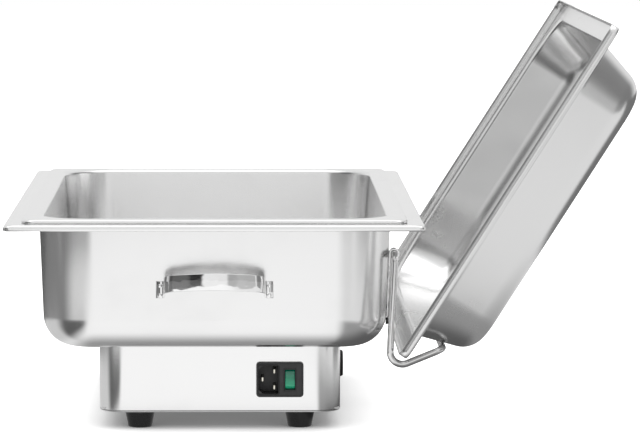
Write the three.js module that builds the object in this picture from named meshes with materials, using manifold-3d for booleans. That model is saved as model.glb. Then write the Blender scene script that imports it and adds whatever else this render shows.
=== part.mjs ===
// An electric chafing dish with its lid standing open in a wire holder, in millimetres, +Z up.
// X runs across the dish towards the lid holder and Y along it, from the end with the switch.
// The origin lies on the underside of the base plate, below the middle of the dish.
import * as THREE from 'three';
import { mergeVertices } from 'three/addons/utils/BufferGeometryUtils.js';
import Module from 'manifold-3d';

const wasm = await Module();
wasm.setup();

// Fits and counts that all pieces share
const touchGap = 0.3;
const boreClearance = 0.3;
const cutOverrun = 3;
const weldDepth = 0.4;
const mergeTolerance = 0.0005;
const cornerSteps = 5;
const broadBendSteps = 5;
const tightBendSteps = 3;
const broadBend = 10;
const wireSides = 8;
const turnedSides = 16;
const nutSides = 6;
const leadSides = 6;
const leadSteps = 2;

// Water pan, the outer body of the dish: its wall lies inside the edge of the food pan's rim
const waterPanInset = 12.5;
const waterPanDepth = 109.5;
const waterPanSheet = 1;
const waterPanDraft = THREE.MathUtils.degToRad(2.2);
const waterPanCornerRadius = 47;
const waterPanBottomRadius = 27;
const panCapRadius = 6;
const flangeReach = 27;
const flangeBendRadius = 4;
const flangeEdgeRadius = 1.5;
const flangeHem = 5;
const flangeCornerRadius = 5;

// Food pan that hangs in the water pan by its rim: the sizes of the whole dish follow it
const foodPanWidth = 325;
const foodPanLength = 530;
const foodPanRim = 15.3;
const foodPanDepth = 65;
const foodPanSheet = 0.8;
const foodPanDraft = THREE.MathUtils.degToRad(4);
const foodPanCornerRadius = 44;
const foodPanBottomRadius = 12;
const foodPanRimBendRadius = 3;
const foodPanRimEdgeRadius = 1.2;
const foodPanLip = 3;
const foodPanRimCornerRadius = 9;

// Lid, drawn closed over its own rim plane, and the way it stands open: it reaches past the food pan
const lidOverhang = 3;
const lidRim = 16.5;
const lidHeight = 51;
const lidSheet = 0.9;
const lidDraft = THREE.MathUtils.degToRad(17);
const lidCornerRadius = 48;
const lidTopRadius = 22;
const lidRimBendRadius = 4;
const lidLip = 8;
const lidLipBendRadius = 2;
const lidRimCornerRadius = 6;
const lidOpenAngle = THREE.MathUtils.degToRad(122.5);
const lidEdgeBehindPivot = 8.6;
const lidEdgeBelowPivot = 84;

// Strap handle on the lid
const lidHandleLength = 94;
const lidHandleHeight = 22;
const lidHandleWidth = 22;
const lidHandleFoot = 12;
const lidHandleLean = 4;
const lidHandleBendRadius = 8;
const lidHandleOffsetShare = 0.16;
const strapThickness = 2;
const strapFootBendRadius = 1.6;

// Wire holder for the lid and its two wall brackets
const wireDiameter = 6;
const legInset = 41;
const tailInset = 74;
const bracketInset = 61;
const restSpreadShare = 0.434;
const pivotBelowFlange = 31.1;
const legLean = 4.6;
const hookBendRadius = 10.5;
const heelBendRadius = 14;
const armRise = THREE.MathUtils.degToRad(22);
const restHeightShare = 0.5;
const restReachShare = 0.3385;
const wireBendRadius = 8;
const stubBendRadius = 5;
const tailLength = 20;
const bracketWidth = 12;
const bracketLength = 55;
const bracketSheet = 2;
const bracketRivetShares = [0.36, 0.84];
const knuckleWall = 1.1;
const bufferRadius = 3;
const bufferHeight = 3;
const bufferSink = 0.4;

// Rivets: each is drawn on its own axis with a head at both ends
const rivetHeadRadius = 3;
const rivetHeadHeight = 1.3;
const rivetRadius = 1.5;
const smallRivetHeadRadius = 1.7;
const smallRivetHeadHeight = 1;
const smallRivetRadius = 1;

// Carrying handles on the two ends of the water pan
const handleWidth = 99;
const handleFoot = 6.5;
const handleStrapHeight = 14.5;
const handleReachShare = 0.384;
const handleShoulderReachShare = 0.2525;
const handleShoulderInset = 7.5;
const handleShoulderRadius = 12;
const handleBowShare = 0.909;
const handleTilt = THREE.MathUtils.degToRad(19.5);
const handleBelowFlange = 57.6;
const handleRivetSpacing = 8;

// Base housing, base plate and feet
const baseInsetX = 58;
const baseInsetY = 80.5;
const baseHeight = 62;
const baseSheet = 1;
const baseCornerRadius = 22;
const baseBendRadius = 3;
const baseFlange = 15;
const baseShift = 4;
const basePlateSheet = 1;
const basePlateInset = 0.5;
const strapWidth = 24;
const strapSheet = 1.2;
const strapLift = 0.4;
const footHeight = 15;
const footInsetX = 35.1;
const footInsetY = 20;
const footTopRadius = 12.7;
const footSoleRadius = 10.2;
const footEdgeRadius = 2;
const footRecessRadius = 4.8;
const footRecessDepth = 6;
const footScrewHeadRadius = 3.9;
const footScrewHeadHeight = 2.8;
const footScrewRadius = 2;
const footScrewEnd = 4;
const studRadius = 2.5;
const studLength = 13;
const nutRadius = 4.6;
const nutHeight = 4;
const housingStudInset = 8.5;
const housingStudSpacingShare = 0.72;

// Power inlet with its rocker switch, in the front wall of the base
const inletWidth = 40.8;
const inletHeight = 30.4;
const inletCornerRadius = 3;
const inletBezel = 2.4;
const inletDepth = 22;
const inletBodyInset = 1.9;
const inletInset = 52.6;
const inletLevel = 28.7;
const socketWidth = 17;
const socketHeight = 24.4;
const socketDepth = 17;
const socketOffset = 9.9;
const socketChamfer = 3.5;
const pinSpacing = 14;
const pinEarthOffset = 5.1;
const pinWidth = 4;
const pinThickness = 2;
const pinSetback = 2.5;
const pinTail = 8;
const rockerOffset = 8.75;
const rockerWidth = 8.2;
const rockerRadius = 8.35;
const rockerPivotDepth = 5;
const rockerCrest = 6.2;
const rockerDish = 1.2;
const rockerBack = 3;
const rockerClearance = 0.4;
const rockerTilt = THREE.MathUtils.degToRad(10);
const rockerWellDepth = 13;

// Thermostat, its knob on the side wall of the base, and its sensor
const knobRadius = 12.4;
const knobHeight = 5.6;
const knobTaper = 1.2;
const knobLevel = 22;
const knobOffset = -28;
const knobStandoff = 0.6;
const knobBoreDepth = 3.5;
const shaftRadius = 3;
const shaftInside = 12;
const thermostatWidth = 26;
const thermostatDepth = 20;
const thermostatHeight = 26;
const sensorRadius = 3;
const sensorLength = 60;
const capillaryRadius = 1.2;

// Heater under the water pan
const heaterInsetX = 29.5;
const heaterInsetY = 24.5;
const padInsetX = 5;
const padInsetY = 40;
const heaterStudInset = 20;
const elementInset = 25;
const elementLaneShare = 0.293;
const heaterPlateSheet = 3;
const plateCornerRadius = 10;
const elementRadius = 3.25;
const elementTail = 14;
const padThickness = 8;
const pressPlateSheet = 1.2;
const cutoutRadius = 8;
const cutoutHeight = 8;
const terminalWidth = 30;
const terminalDepth = 16;
const terminalHeight = 14;
const terminalGroove = 3;
const terminalOffset = 20;
const leadRadius = 1.3;
const leadBendRadius = 6;
const liveTurnShare = 0.72;
const neutralTurnShare = 0.35;

// Sizes that follow the food pan and the carrying handles
const waterPanWidth = foodPanWidth - 2 * waterPanInset;
const waterPanLength = foodPanLength - 2 * waterPanInset;
const lidWidth = foodPanWidth + 2 * lidOverhang;
const lidLength = foodPanLength + 2 * lidOverhang;
const lidHandleOffset = foodPanWidth * lidHandleOffsetShare;
const legSpread = foodPanLength / 2 - legInset;
const tailSpread = foodPanLength / 2 - tailInset;
const bracketSpread = foodPanLength / 2 - bracketInset;
const restSpread = foodPanLength * restSpreadShare / 2;
const restReach = foodPanWidth * restReachShare;
const handleReach = handleWidth * handleReachShare;
const handleShoulderReach = handleWidth * handleShoulderReachShare;
const handleBowRadius = handleWidth * handleBowShare;
const baseWidth = foodPanWidth - 2 * baseInsetX;
const baseLength = foodPanLength - 2 * baseInsetY;
const footSpacingX = baseWidth - 2 * footInsetX;
const footSpacingY = baseLength - 2 * footInsetY;
const heaterPlateWidth = baseWidth - 2 * heaterInsetX;
const heaterPlateLength = baseLength - 2 * heaterInsetY;
const padWidth = heaterPlateWidth - 2 * padInsetX;
const padLength = heaterPlateLength - 2 * padInsetY;
const heaterStudSpacing = padLength - 2 * heaterStudInset;
const elementHalfLength = heaterPlateLength / 2 - elementInset;
const elementLane = heaterPlateWidth * elementLaneShare;

// Places that several pieces share
const wireRadius = wireDiameter / 2;
const panBottom = baseHeight;
const flangeTop = panBottom + waterPanDepth;
const foodRimTop = flangeTop + touchGap + foodPanLip;
const pivotLevel = flangeTop - pivotBelowFlange;
const knuckleRadius = wireRadius + boreClearance + knuckleWall;
const pivotReach = wallReach(pivotLevel, waterPanWidth) + touchGap + knuckleRadius;
const handleLevel = flangeTop - handleBelowFlange;
const baseWallX = baseShift + baseWidth / 2;
const heaterPlateTop = panBottom - touchGap;
const elementLevel = heaterPlateTop - heaterPlateSheet - touchGap - elementRadius;
const padTop = elementLevel - elementRadius - touchGap;
const pressPlateTop = padTop - padThickness - touchGap;
const heaterStudLength = panBottom - pressPlateTop + pressPlateSheet + nutHeight + touchGap;
const inletX = baseWallX - inletInset;
const frontWallY = -baseLength / 2;

const steel = finish(0xd9dadb, 0.28, 1);
const polished = finish(0xe6e7e8, 0.08, 1);
const coated = finish(0xe2e3e4, 0.3, 1);
const black = finish(0x151515, 0.45, 0);
const charcoal = finish(0x3a3b3d, 0.5, 0);
const green = finish(0x2fae4a, 0.3, 0);
const brass = finish(0xc8a45c, 0.35, 1);
const aluminium = finish(0xbfc2c4, 0.45, 1);
const wool = finish(0xd8d2c0, 0.95, 0);
const ceramic = finish(0xeeeae0, 0.6, 0);
const brown = finish(0x6a4a33, 0.5, 0);
const blue = finish(0x3d5f9c, 0.5, 0);

// A colour, a roughness and a metalness as one material.
function finish(color, roughness, metalness) {
  return new THREE.MeshStandardMaterial({ color, roughness, metalness });
}

// How far the outside of a drafted wall lies from the middle at a level.
function wallReach(level, size) {
  return size / 2 - (flangeTop - level) * Math.tan(waterPanDraft);
}

function piece(name, geometry, material) {
  const mesh = new THREE.Mesh(geometry, material);
  mesh.name = name;
  return mesh;
}

function corner(x, y, z, radius = 0) {
  return { at: new THREE.Vector3(x, y, z), radius };
}

// A run of straight lines with each corner rounded to its own radius.
function roundedPath(corners, broadSteps = broadBendSteps, tightSteps = tightBendSteps) {
  const points = [corners[0].at.clone()];
  for (let i = 1; i < corners.length - 1; i += 1) {
    const { at, radius } = corners[i];
    const back = corners[i - 1].at.clone().sub(at).normalize();
    const ahead = corners[i + 1].at.clone().sub(at).normalize();
    const half = back.angleTo(ahead) / 2;
    if (radius === 0) {
      points.push(at.clone());
      continue;
    }
    const inward = back.clone().add(ahead).normalize();
    const centre = at.clone().addScaledVector(inward, radius / Math.sin(half));
    const first = at.clone().addScaledVector(back, radius / Math.tan(half)).sub(centre);
    const last = at.clone().addScaledVector(ahead, radius / Math.tan(half)).sub(centre);
    const sweep = Math.PI - 2 * half;
    const steps = radius > broadBend ? broadSteps : tightSteps;
    for (let k = 0; k <= steps; k += 1) {
      const turn = (k / steps) * sweep;
      points.push(centre.clone()
        .addScaledVector(first, Math.sin(sweep - turn) / Math.sin(sweep))
        .addScaledVector(last, Math.sin(turn) / Math.sin(sweep)));
    }
  }
  points.push(corners[corners.length - 1].at.clone());
  return points;
}

// A flat line moved sideways, to its left in X and Y, with mitred corners.
function offsetLine(line, distance) {
  return line.map((point, i) => {
    const next = line[Math.min(i + 1, line.length - 1)];
    const previous = line[Math.max(i - 1, 0)];
    const ahead = (i < line.length - 1 ? next.clone().sub(point) : point.clone().sub(previous)).normalize();
    const back = (i > 0 ? point.clone().sub(previous) : ahead.clone()).normalize();
    const middle = ahead.clone().add(back).normalize();
    const reach = distance / middle.dot(ahead);
    return new THREE.Vector3(point.x - middle.y * reach, point.y + middle.x * reach, point.z);
  });
}

// A closed rounded rectangle, seen from above, as a ring of points.
function roundedRing(halfX, halfY, radius, level, steps = cornerSteps) {
  const ring = [];
  for (let quarter = 0; quarter < 4; quarter += 1) {
    const signX = quarter === 0 || quarter === 3 ? 1 : -1;
    const signY = quarter < 2 ? 1 : -1;
    for (let k = 0; k <= steps; k += 1) {
      const angle = (quarter + k / steps) * Math.PI / 2;
      ring.push(new THREE.Vector3(
        signX * (halfX - radius) + radius * Math.cos(angle),
        signY * (halfY - radius) + radius * Math.sin(angle),
        level,
      ));
    }
  }
  return ring;
}

// The mesh turned so that its faces point outwards.
function outward(geometry) {
  const at = geometry.getAttribute('position');
  const index = geometry.getIndex();
  const [a, b, c] = [new THREE.Vector3(), new THREE.Vector3(), new THREE.Vector3()];
  let volume = 0;
  for (let i = 0; i < index.count; i += 3) {
    a.fromBufferAttribute(at, index.getX(i));
    b.fromBufferAttribute(at, index.getX(i + 1));
    c.fromBufferAttribute(at, index.getX(i + 2));
    volume += a.dot(b.cross(c));
  }
  if (volume < 0) {
    geometry.setIndex(Array.from(index.array).reverse());
  }
  return geometry;
}

// A skin over rings of equal counts: a loop joins its last ring to its first, or both ends are flat.
function loft(rings, loop) {
  const count = rings[0].length;
  const positions = rings.flat().flatMap((p) => p.toArray());
  const faces = [];
  const bands = loop ? rings.length : rings.length - 1;
  for (let r = 0; r < bands; r += 1) {
    const low = r * count;
    const high = ((r + 1) % rings.length) * count;
    for (let k = 0; k < count; k += 1) {
      const next = (k + 1) % count;
      faces.push(low + k, low + next, high + next, low + k, high + next, high + k);
    }
  }
  if (!loop) {
    for (const end of [0, rings.length - 1]) {
      const centre = rings[end].reduce((sum, p) => sum.add(p), new THREE.Vector3()).divideScalar(count);
      const hub = positions.length / 3;
      positions.push(...centre.toArray());
      for (let k = 0; k < count; k += 1) {
        const edge = [end * count + k, end * count + (k + 1) % count];
        faces.push(...(end === 0 ? edge.reverse() : edge), hub);
      }
    }
  }
  const geometry = new THREE.BufferGeometry();
  geometry.setAttribute('position', new THREE.Float32BufferAttribute(positions, 3));
  geometry.setIndex(faces);
  return outward(geometry);
}

// Pressed sheet: one face is a profile of reach (x) and level (y) carried round the plan, from the
// middle outwards, and a negative sheet thickens it downwards.
function pressedSheet(plan, face, sheet, loop = false) {
  const ring = (p) => {
    const outer = Math.min(p.x / plan.rimReach, 1);
    const radius = p.x > 0
      ? THREE.MathUtils.lerp(plan.cornerRadius, plan.rimRadius, outer)
      : plan.cornerRadius + p.x;
    return roundedRing(plan.halfX + p.x, plan.halfY + p.x, radius, p.y);
  };
  const other = offsetLine(face, sheet).reverse();
  return loft([...face, ...other].map(ring), loop);
}

// A tube bent along a path, with a round section.
class BentPath extends THREE.Curve {
  constructor(points) {
    super();
    this.points = points;
  }

  getPoint(t) {
    const place = Math.min(t, 1) * (this.points.length - 1);
    const low = Math.min(Math.floor(place), this.points.length - 2);
    return this.points[low].clone().lerp(this.points[low + 1], place - low);
  }

  getPointAt(u) {
    return this.getPoint(u);
  }

  getTangentAt(u) {
    const place = Math.round(u * (this.points.length - 1));
    const ahead = this.points[Math.min(place + 1, this.points.length - 1)];
    const behind = this.points[Math.max(place - 1, 0)];
    return ahead.clone().sub(behind).normalize();
  }
}

function tube(corners, radius, sides = wireSides, tightSteps = tightBendSteps) {
  const points = roundedPath(corners, broadBendSteps, tightSteps);
  const section = new THREE.Shape();
  for (let k = 0; k < sides; k += 1) {
    const angle = (k / sides) * 2 * Math.PI;
    const spot = [radius * Math.cos(angle), radius * Math.sin(angle)];
    if (k === 0) {
      section.moveTo(...spot);
    } else {
      section.lineTo(...spot);
    }
  }
  section.closePath();
  return new THREE.ExtrudeGeometry(section, {
    steps: points.length - 1,
    extrudePath: new BentPath(points),
    curveSegments: 1,
  });
}

// A turned piece about Z: its profile is a list of radii and levels that ends on the axis or closes.
function turned(profile, sides = turnedSides) {
  const points = profile.map(([radius, level]) => new THREE.Vector2(radius, level));
  if (profile[0][0] > 0) {
    points.push(points[0].clone());
  }
  return new THREE.LatheGeometry(points, sides).rotateX(Math.PI / 2);
}

function block(sizeX, sizeY, sizeZ, x, y, z) {
  return new THREE.BoxGeometry(sizeX, sizeY, sizeZ).translate(x, y, z);
}

// A rounded plate, its underside at the level z.
function plate(sizeX, sizeY, thickness, radius, x, y, z, holes = []) {
  const outline = new THREE.Shape(roundedRing(sizeX / 2, sizeY / 2, radius, 0)
    .map((p) => new THREE.Vector2(p.x + x, p.y + y)));
  for (const hole of holes) {
    const path = new THREE.Path();
    path.absarc(hole.x, hole.y, hole.radius, 0, 2 * Math.PI);
    outline.holes.push(path);
  }
  return extruded(outline, thickness).translate(0, 0, z);
}

// A flat outline made solid, from z = 0 up.
function extruded(outline, depth, curveSegments = cornerSteps) {
  return new THREE.ExtrudeGeometry(outline, { depth, bevelEnabled: false, curveSegments });
}

function solid(geometry) {
  const bare = new THREE.BufferGeometry();
  bare.setAttribute('position', geometry.getAttribute('position').clone());
  if (geometry.getIndex()) {
    bare.setIndex(geometry.getIndex().clone());
  }
  const merged = mergeVertices(bare, mergeTolerance);
  return new wasm.Manifold(new wasm.Mesh({
    numProp: 3,
    vertProperties: new Float32Array(merged.getAttribute('position').array),
    triVerts: new Uint32Array(merged.getIndex().array),
  }));
}

function fromSolid(body) {
  const mesh = body.getMesh();
  const geometry = new THREE.BufferGeometry();
  geometry.setAttribute('position', new THREE.BufferAttribute(new Float32Array(mesh.vertProperties), 3));
  geometry.setIndex(new THREE.BufferAttribute(new Uint32Array(mesh.triVerts), 1));
  return geometry;
}

// A shape with others joined on and cut out.
function carved(shape, joined, cut) {
  let body = solid(shape);
  for (const other of joined) {
    body = body.add(solid(other));
  }
  for (const other of cut) {
    body = body.subtract(solid(other));
  }
  return fromSolid(body);
}

// A round rod or cutter between two points.
function rod(from, to, radius, sides = turnedSides) {
  const along = to.clone().sub(from);
  const turn = new THREE.Quaternion().setFromUnitVectors(
    new THREE.Vector3(0, 1, 0),
    along.clone().normalize(),
  );
  return new THREE.CylinderGeometry(radius, radius, along.length(), sides)
    .applyQuaternion(turn)
    .translate(...from.clone().add(to).divideScalar(2).toArray());
}

// A narrow cutter or post along one axis, from one offset to another about a place.
function along(axis, place, from, to, radius) {
  const start = new THREE.Vector3(place.x, place.y, place.z);
  const end = start.clone();
  start[axis] += from;
  end[axis] += to;
  return rod(start, end, radius, wireSides);
}

// A rivet along +Z: its outer head stands on z = 0 and its inner head lies below the grip.
function rivet(grip, radius, headRadius, headHeight) {
  const outer = touchGap;
  const inner = -grip - touchGap;
  const crown = headRadius / 2;
  return turned([
    [0, inner - headHeight],
    [headRadius, inner - headHeight],
    [headRadius, inner],
    [radius, inner],
    [radius, outer],
    [headRadius, outer],
    [headRadius, outer + headHeight / 2],
    [crown, outer + headHeight],
    [0, outer + headHeight],
  ], wireSides);
}

// Where the rivets of the wall brackets and the carrying handles go through the water pan.
function bracketRivetPlaces() {
  const places = [];
  for (const side of [-1, 1]) {
    for (const share of bracketRivetShares) {
      const z = pivotLevel - bracketLength * share;
      const x = wallReach(z, waterPanWidth);
      places.push({ x, y: side * bracketSpread, z });
    }
  }
  return places;
}

function handleRivetPlaces() {
  const places = [];
  for (const end of [-1, 1]) {
    for (const side of [-1, 1]) {
      for (const row of [-1, 1]) {
        const z = handleLevel + row * handleRivetSpacing / 2;
        const x = side * (handleWidth - handleFoot) / 2;
        places.push({ x, y: end * wallReach(z, waterPanLength), z, end });
      }
    }
  }
  return places;
}

// Where the studs under the water pan stand.
function housingStudPlaces() {
  const places = [];
  for (const sideX of [-1, 1]) {
    for (const sideY of [-1, 1]) {
      places.push({
        x: baseShift + sideX * (baseWidth / 2 - housingStudInset),
        y: sideY * baseLength * housingStudSpacingShare / 2,
        z: panBottom,
      });
    }
  }
  return places;
}

function heaterStudPlaces() {
  return [-1, 1].map((side) => ({ x: baseShift, y: side * heaterStudSpacing / 2, z: panBottom }));
}

function waterPan() {
  const fall = waterPanDepth * Math.tan(waterPanDraft);
  const plan = {
    halfX: waterPanWidth / 2,
    halfY: waterPanLength / 2,
    cornerRadius: waterPanCornerRadius,
    rimReach: flangeReach,
    rimRadius: flangeCornerRadius,
  };
  const face = roundedPath([
    corner(panCapRadius - waterPanCornerRadius, panBottom, 0),
    corner(-fall, panBottom, 0, waterPanBottomRadius),
    corner(0, flangeTop - waterPanSheet, 0, flangeBendRadius),
    corner(flangeReach - waterPanSheet, flangeTop - waterPanSheet, 0, flangeEdgeRadius),
    corner(flangeReach - waterPanSheet, flangeTop - flangeHem, 0),
  ]);
  const shell = pressedSheet(plan, face, waterPanSheet);
  const studs = [
    ...housingStudPlaces().map((place) => along('z', place, -studLength, weldDepth, studRadius)),
    ...heaterStudPlaces().map((place) => along('z', place, -heaterStudLength, weldDepth, studRadius)),
  ];
  const bracketBore = rivetRadius + boreClearance;
  const handleBore = smallRivetRadius + boreClearance;
  const holes = [
    ...bracketRivetPlaces().map((place) => along('x', place, -cutOverrun, cutOverrun, bracketBore)),
    ...handleRivetPlaces().map((place) => along('y', place, -cutOverrun, cutOverrun, handleBore)),
  ];
  return piece('water_pan', carved(shell, studs, holes), steel);
}

function foodPan() {
  const fall = foodPanDepth * Math.tan(foodPanDraft);
  const plan = {
    halfX: foodPanWidth / 2 - foodPanRim,
    halfY: foodPanLength / 2 - foodPanRim,
    cornerRadius: foodPanCornerRadius,
    rimReach: foodPanRim,
    rimRadius: foodPanRimCornerRadius,
  };
  const underRim = foodRimTop - foodPanSheet;
  const face = roundedPath([
    corner(panCapRadius - foodPanCornerRadius, underRim - foodPanDepth, 0),
    corner(-fall, underRim - foodPanDepth, 0, foodPanBottomRadius),
    corner(0, underRim, 0, foodPanRimBendRadius),
    corner(foodPanRim - foodPanSheet, underRim, 0, foodPanRimEdgeRadius),
    corner(foodPanRim - foodPanSheet, foodRimTop - foodPanLip, 0),
  ]);
  return piece('food_pan', pressedSheet(plan, face, foodPanSheet), steel);
}

// The lid's own frame: x runs to the edge beside the holder, y along the lid, z up from its rim.
function lidShell() {
  const fall = lidHeight * Math.tan(lidDraft);
  const plan = {
    halfX: lidWidth / 2 - lidRim,
    halfY: lidLength / 2 - lidRim,
    cornerRadius: lidCornerRadius,
    rimReach: lidRim,
    rimRadius: lidRimCornerRadius,
  };
  const face = roundedPath([
    corner(panCapRadius - lidCornerRadius, lidHeight, 0),
    corner(-fall, lidHeight, 0, lidTopRadius),
    corner(0, 0, 0, lidRimBendRadius),
    corner(lidRim, 0, 0, lidLipBendRadius),
    corner(lidRim, -lidLip, 0),
  ]);
  const shell = pressedSheet(plan, face, -lidSheet);
  return piece('lid', carved(shell, [], lidScrewHoles()), steel);
}

function lidScrewPlaces() {
  const reach = (lidHandleLength - lidHandleFoot) / 2;
  return [-reach, reach].map((x) => ({ x: x - lidHandleOffset, y: 0, z: lidHeight }));
}

// Cutters for the screws, through the lid and through the feet of its handle.
function lidScrewHoles() {
  const bore = rivetRadius + boreClearance;
  return lidScrewPlaces().map((place) => along('z', place, -cutOverrun, cutOverrun + strapThickness, bore));
}

// A flat strap whose centre line is given in X and Y, as high as its width, from z = 0 up.
function strap(corners, width, thickness) {
  const line = roundedPath(corners);
  const left = offsetLine(line, thickness / 2);
  const right = offsetLine(line, -thickness / 2).reverse();
  const outline = new THREE.Shape([...left, ...right].map((p) => new THREE.Vector2(p.x, p.y)));
  return extruded(outline, width);
}

function lidHandle() {
  const half = lidHandleLength / 2;
  const foot = strapThickness / 2 + touchGap;
  const ankle = half - lidHandleFoot;
  const knee = ankle - lidHandleLean;
  const bow = strap([
    corner(-half, foot, 0),
    corner(-ankle, foot, 0, strapFootBendRadius),
    corner(-knee, lidHandleHeight, 0, lidHandleBendRadius),
    corner(knee, lidHandleHeight, 0, lidHandleBendRadius),
    corner(ankle, foot, 0, strapFootBendRadius),
    corner(half, foot, 0),
  ], lidHandleWidth, strapThickness)
    .translate(0, 0, -lidHandleWidth / 2)
    .rotateX(Math.PI / 2)
    .translate(-lidHandleOffset, 0, lidHeight);
  return piece('lid_handle', carved(bow, [], lidScrewHoles()), polished);
}

function lidHandleScrews() {
  const grip = strapThickness + touchGap + lidSheet;
  return lidScrewPlaces().map(({ x, y, z }, i) => {
    const screw = rivet(grip, rivetRadius, rivetHeadRadius, rivetHeadHeight)
      .translate(x, y, z + touchGap + strapThickness);
    return piece(`lid_handle_screw_${i + 1}`, screw, polished);
  });
}

// The open lid: its rim stands on the hook of the wire holder.
function lidPlacement() {
  const place = new THREE.Object3D();
  place.rotation.y = lidOpenAngle;
  place.updateMatrix();
  const edge = new THREE.Vector3(lidWidth / 2, 0, 0).applyEuler(place.rotation);
  place.position.set(pivotReach + lidEdgeBehindPivot, 0, pivotLevel - lidEdgeBelowPivot).sub(edge);
  place.updateMatrix();
  return place;
}

function openLid() {
  const group = new THREE.Group();
  group.add(lidShell(), lidHandle(), ...lidHandleScrews());
  const place = lidPlacement();
  group.position.copy(place.position);
  group.rotation.copy(place.rotation);
  return group;
}

// One continuous wire: pivot ends in the brackets, legs, hooks, arms and the back rest of the lid.
function lidHolder() {
  const matrix = lidPlacement().matrix;
  const offLid = wireRadius + touchGap;
  const seatHeight = lidHeight * restHeightShare;
  const wallAt = (height) => lidWidth / 2 - lidRim - height * Math.tan(lidDraft);
  const beside = offLid / Math.cos(lidDraft);
  const onLid = (x, height) => new THREE.Vector3(x, 0, height).applyMatrix4(matrix);
  const seat = onLid(wallAt(seatHeight) + beside, seatHeight);
  const heel = onLid(wallAt(lidHeight + offLid) + beside, lidHeight + offLid);
  const top = onLid(wallAt(lidHeight + offLid) + beside - restReach, lidHeight + offLid);
  const legX = pivotReach - legLean;
  const hookZ = seat.z - (seat.x - legX) * Math.tan(armRise);
  const tailLean = pivotReach - wallReach(pivotLevel - tailLength, waterPanWidth) - wireRadius - touchGap;
  const half = (side) => [
    corner(pivotReach - tailLean, side * tailSpread, pivotLevel - tailLength),
    corner(pivotReach, side * tailSpread, pivotLevel, stubBendRadius),
    corner(pivotReach, side * legSpread, pivotLevel, stubBendRadius),
    corner(legX, side * legSpread, hookZ, hookBendRadius),
    corner(seat.x, side * legSpread, seat.z, wireBendRadius),
    corner(seat.x, side * restSpread, seat.z, wireBendRadius),
    corner(heel.x, side * restSpread, heel.z, heelBendRadius),
    corner(top.x, side * restSpread, top.z, wireBendRadius),
  ];
  const path = [...half(-1), ...half(1).reverse()];
  return piece('lid_holder', tube(path, wireRadius), polished);
}

function holderBracket(side, name) {
  const lean = bracketLength * Math.tan(waterPanDraft);
  const meet = Math.acos((knuckleRadius - bracketSheet) / knuckleRadius);
  const outline = new THREE.Shape();
  outline.moveTo(-knuckleRadius - lean, -bracketLength);
  outline.lineTo(-knuckleRadius, 0);
  outline.absarc(0, 0, knuckleRadius, Math.PI, meet - Math.PI, true);
  outline.lineTo(bracketSheet - knuckleRadius - lean, -bracketLength);
  outline.closePath();
  const bore = new THREE.Path();
  bore.absarc(0, 0, wireRadius + boreClearance, 0, 2 * Math.PI);
  outline.holes.push(bore);
  const leaf = extruded(outline, bracketWidth, cornerSteps * 2)
    .translate(0, 0, -bracketWidth / 2)
    .rotateX(Math.PI / 2)
    .translate(pivotReach, side * bracketSpread, pivotLevel);
  const rivetBore = rivetRadius + boreClearance;
  const holes = bracketRivetPlaces()
    .filter(({ y }) => y * side > 0)
    .map((place) => along('x', place, -cutOverrun, cutOverrun + bracketSheet, rivetBore));
  return piece(name, carved(leaf, [], holes), polished);
}

function bracketRivets() {
  const grip = bracketSheet + touchGap + waterPanSheet;
  const names = ['near_upper', 'near_lower', 'far_upper', 'far_lower'];
  return bracketRivetPlaces().map(({ x, y, z }, i) => {
    const shape = rivet(grip, rivetRadius, rivetHeadRadius, rivetHeadHeight)
      .rotateY(Math.PI / 2 + waterPanDraft)
      .translate(x + touchGap + bracketSheet, y, z);
    return piece(`bracket_rivet_${names[i]}`, shape, polished);
  });
}

// A rubber button below each bracket, sunk to meet the start of the pan's bottom bend.
function bracketBuffer(side, name) {
  const level = pivotLevel - bracketLength - bufferRadius - touchGap;
  const shape = turned([
    [0, 0],
    [bufferRadius, 0],
    [bufferRadius, bufferHeight * 2 / 3],
    [bufferRadius / 2, bufferHeight],
    [0, bufferHeight],
  ], wireSides * 2)
    .rotateY(Math.PI / 2 + waterPanDraft)
    .translate(wallReach(level, waterPanWidth) + touchGap - bufferSink, side * bracketSpread, level);
  return piece(name, shape, black);
}

// A bowed strap that rises as it leaves the end wall and whose feet follow the wall's draft.
function carryingHandle(end, name) {
  const half = handleWidth / 2;
  const foot = strapThickness / 2 + touchGap;
  const ankle = half - handleFoot;
  const shoulder = half - handleShoulderInset;
  const rise = new THREE.Matrix4().makeShear(0, 0, 0, Math.tan(handleTilt), 0, 0);
  const bow = strap([
    corner(-half, foot, 0),
    corner(-ankle, foot, 0, strapFootBendRadius),
    corner(-shoulder, handleShoulderReach, 0, handleShoulderRadius),
    corner(0, handleReach, 0, handleBowRadius),
    corner(shoulder, handleShoulderReach, 0, handleShoulderRadius),
    corner(ankle, foot, 0, strapFootBendRadius),
    corner(half, foot, 0),
  ], handleStrapHeight, strapThickness)
    .translate(0, 0, -handleStrapHeight / 2)
    .applyMatrix4(rise)
    .rotateX(-waterPanDraft)
    .rotateZ(end < 0 ? Math.PI : 0)
    .translate(0, end * wallReach(handleLevel, waterPanLength), handleLevel);
  const bore = smallRivetRadius + boreClearance;
  const holes = handleRivetPlaces()
    .filter((place) => place.end === end)
    .map((place) => along(
      'y',
      place,
      -cutOverrun - strapThickness,
      cutOverrun + strapThickness,
      bore,
    ));
  return piece(name, carved(bow, [], holes), polished);
}

function handleRivets() {
  const grip = strapThickness + touchGap + waterPanSheet;
  const places = handleRivetPlaces();
  const perHandle = places.length / 2;
  return places.map(({ x, y, z, end }, i) => {
    const shape = rivet(grip, smallRivetRadius, smallRivetHeadRadius, smallRivetHeadHeight)
      .rotateX(-end * (Math.PI / 2 + waterPanDraft))
      .translate(x, y + end * (touchGap + strapThickness), z);
    const side = end < 0 ? 'near' : 'far';
    return piece(`handle_${side}_rivet_${i % perHandle + 1}`, shape, polished);
  });
}

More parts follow.
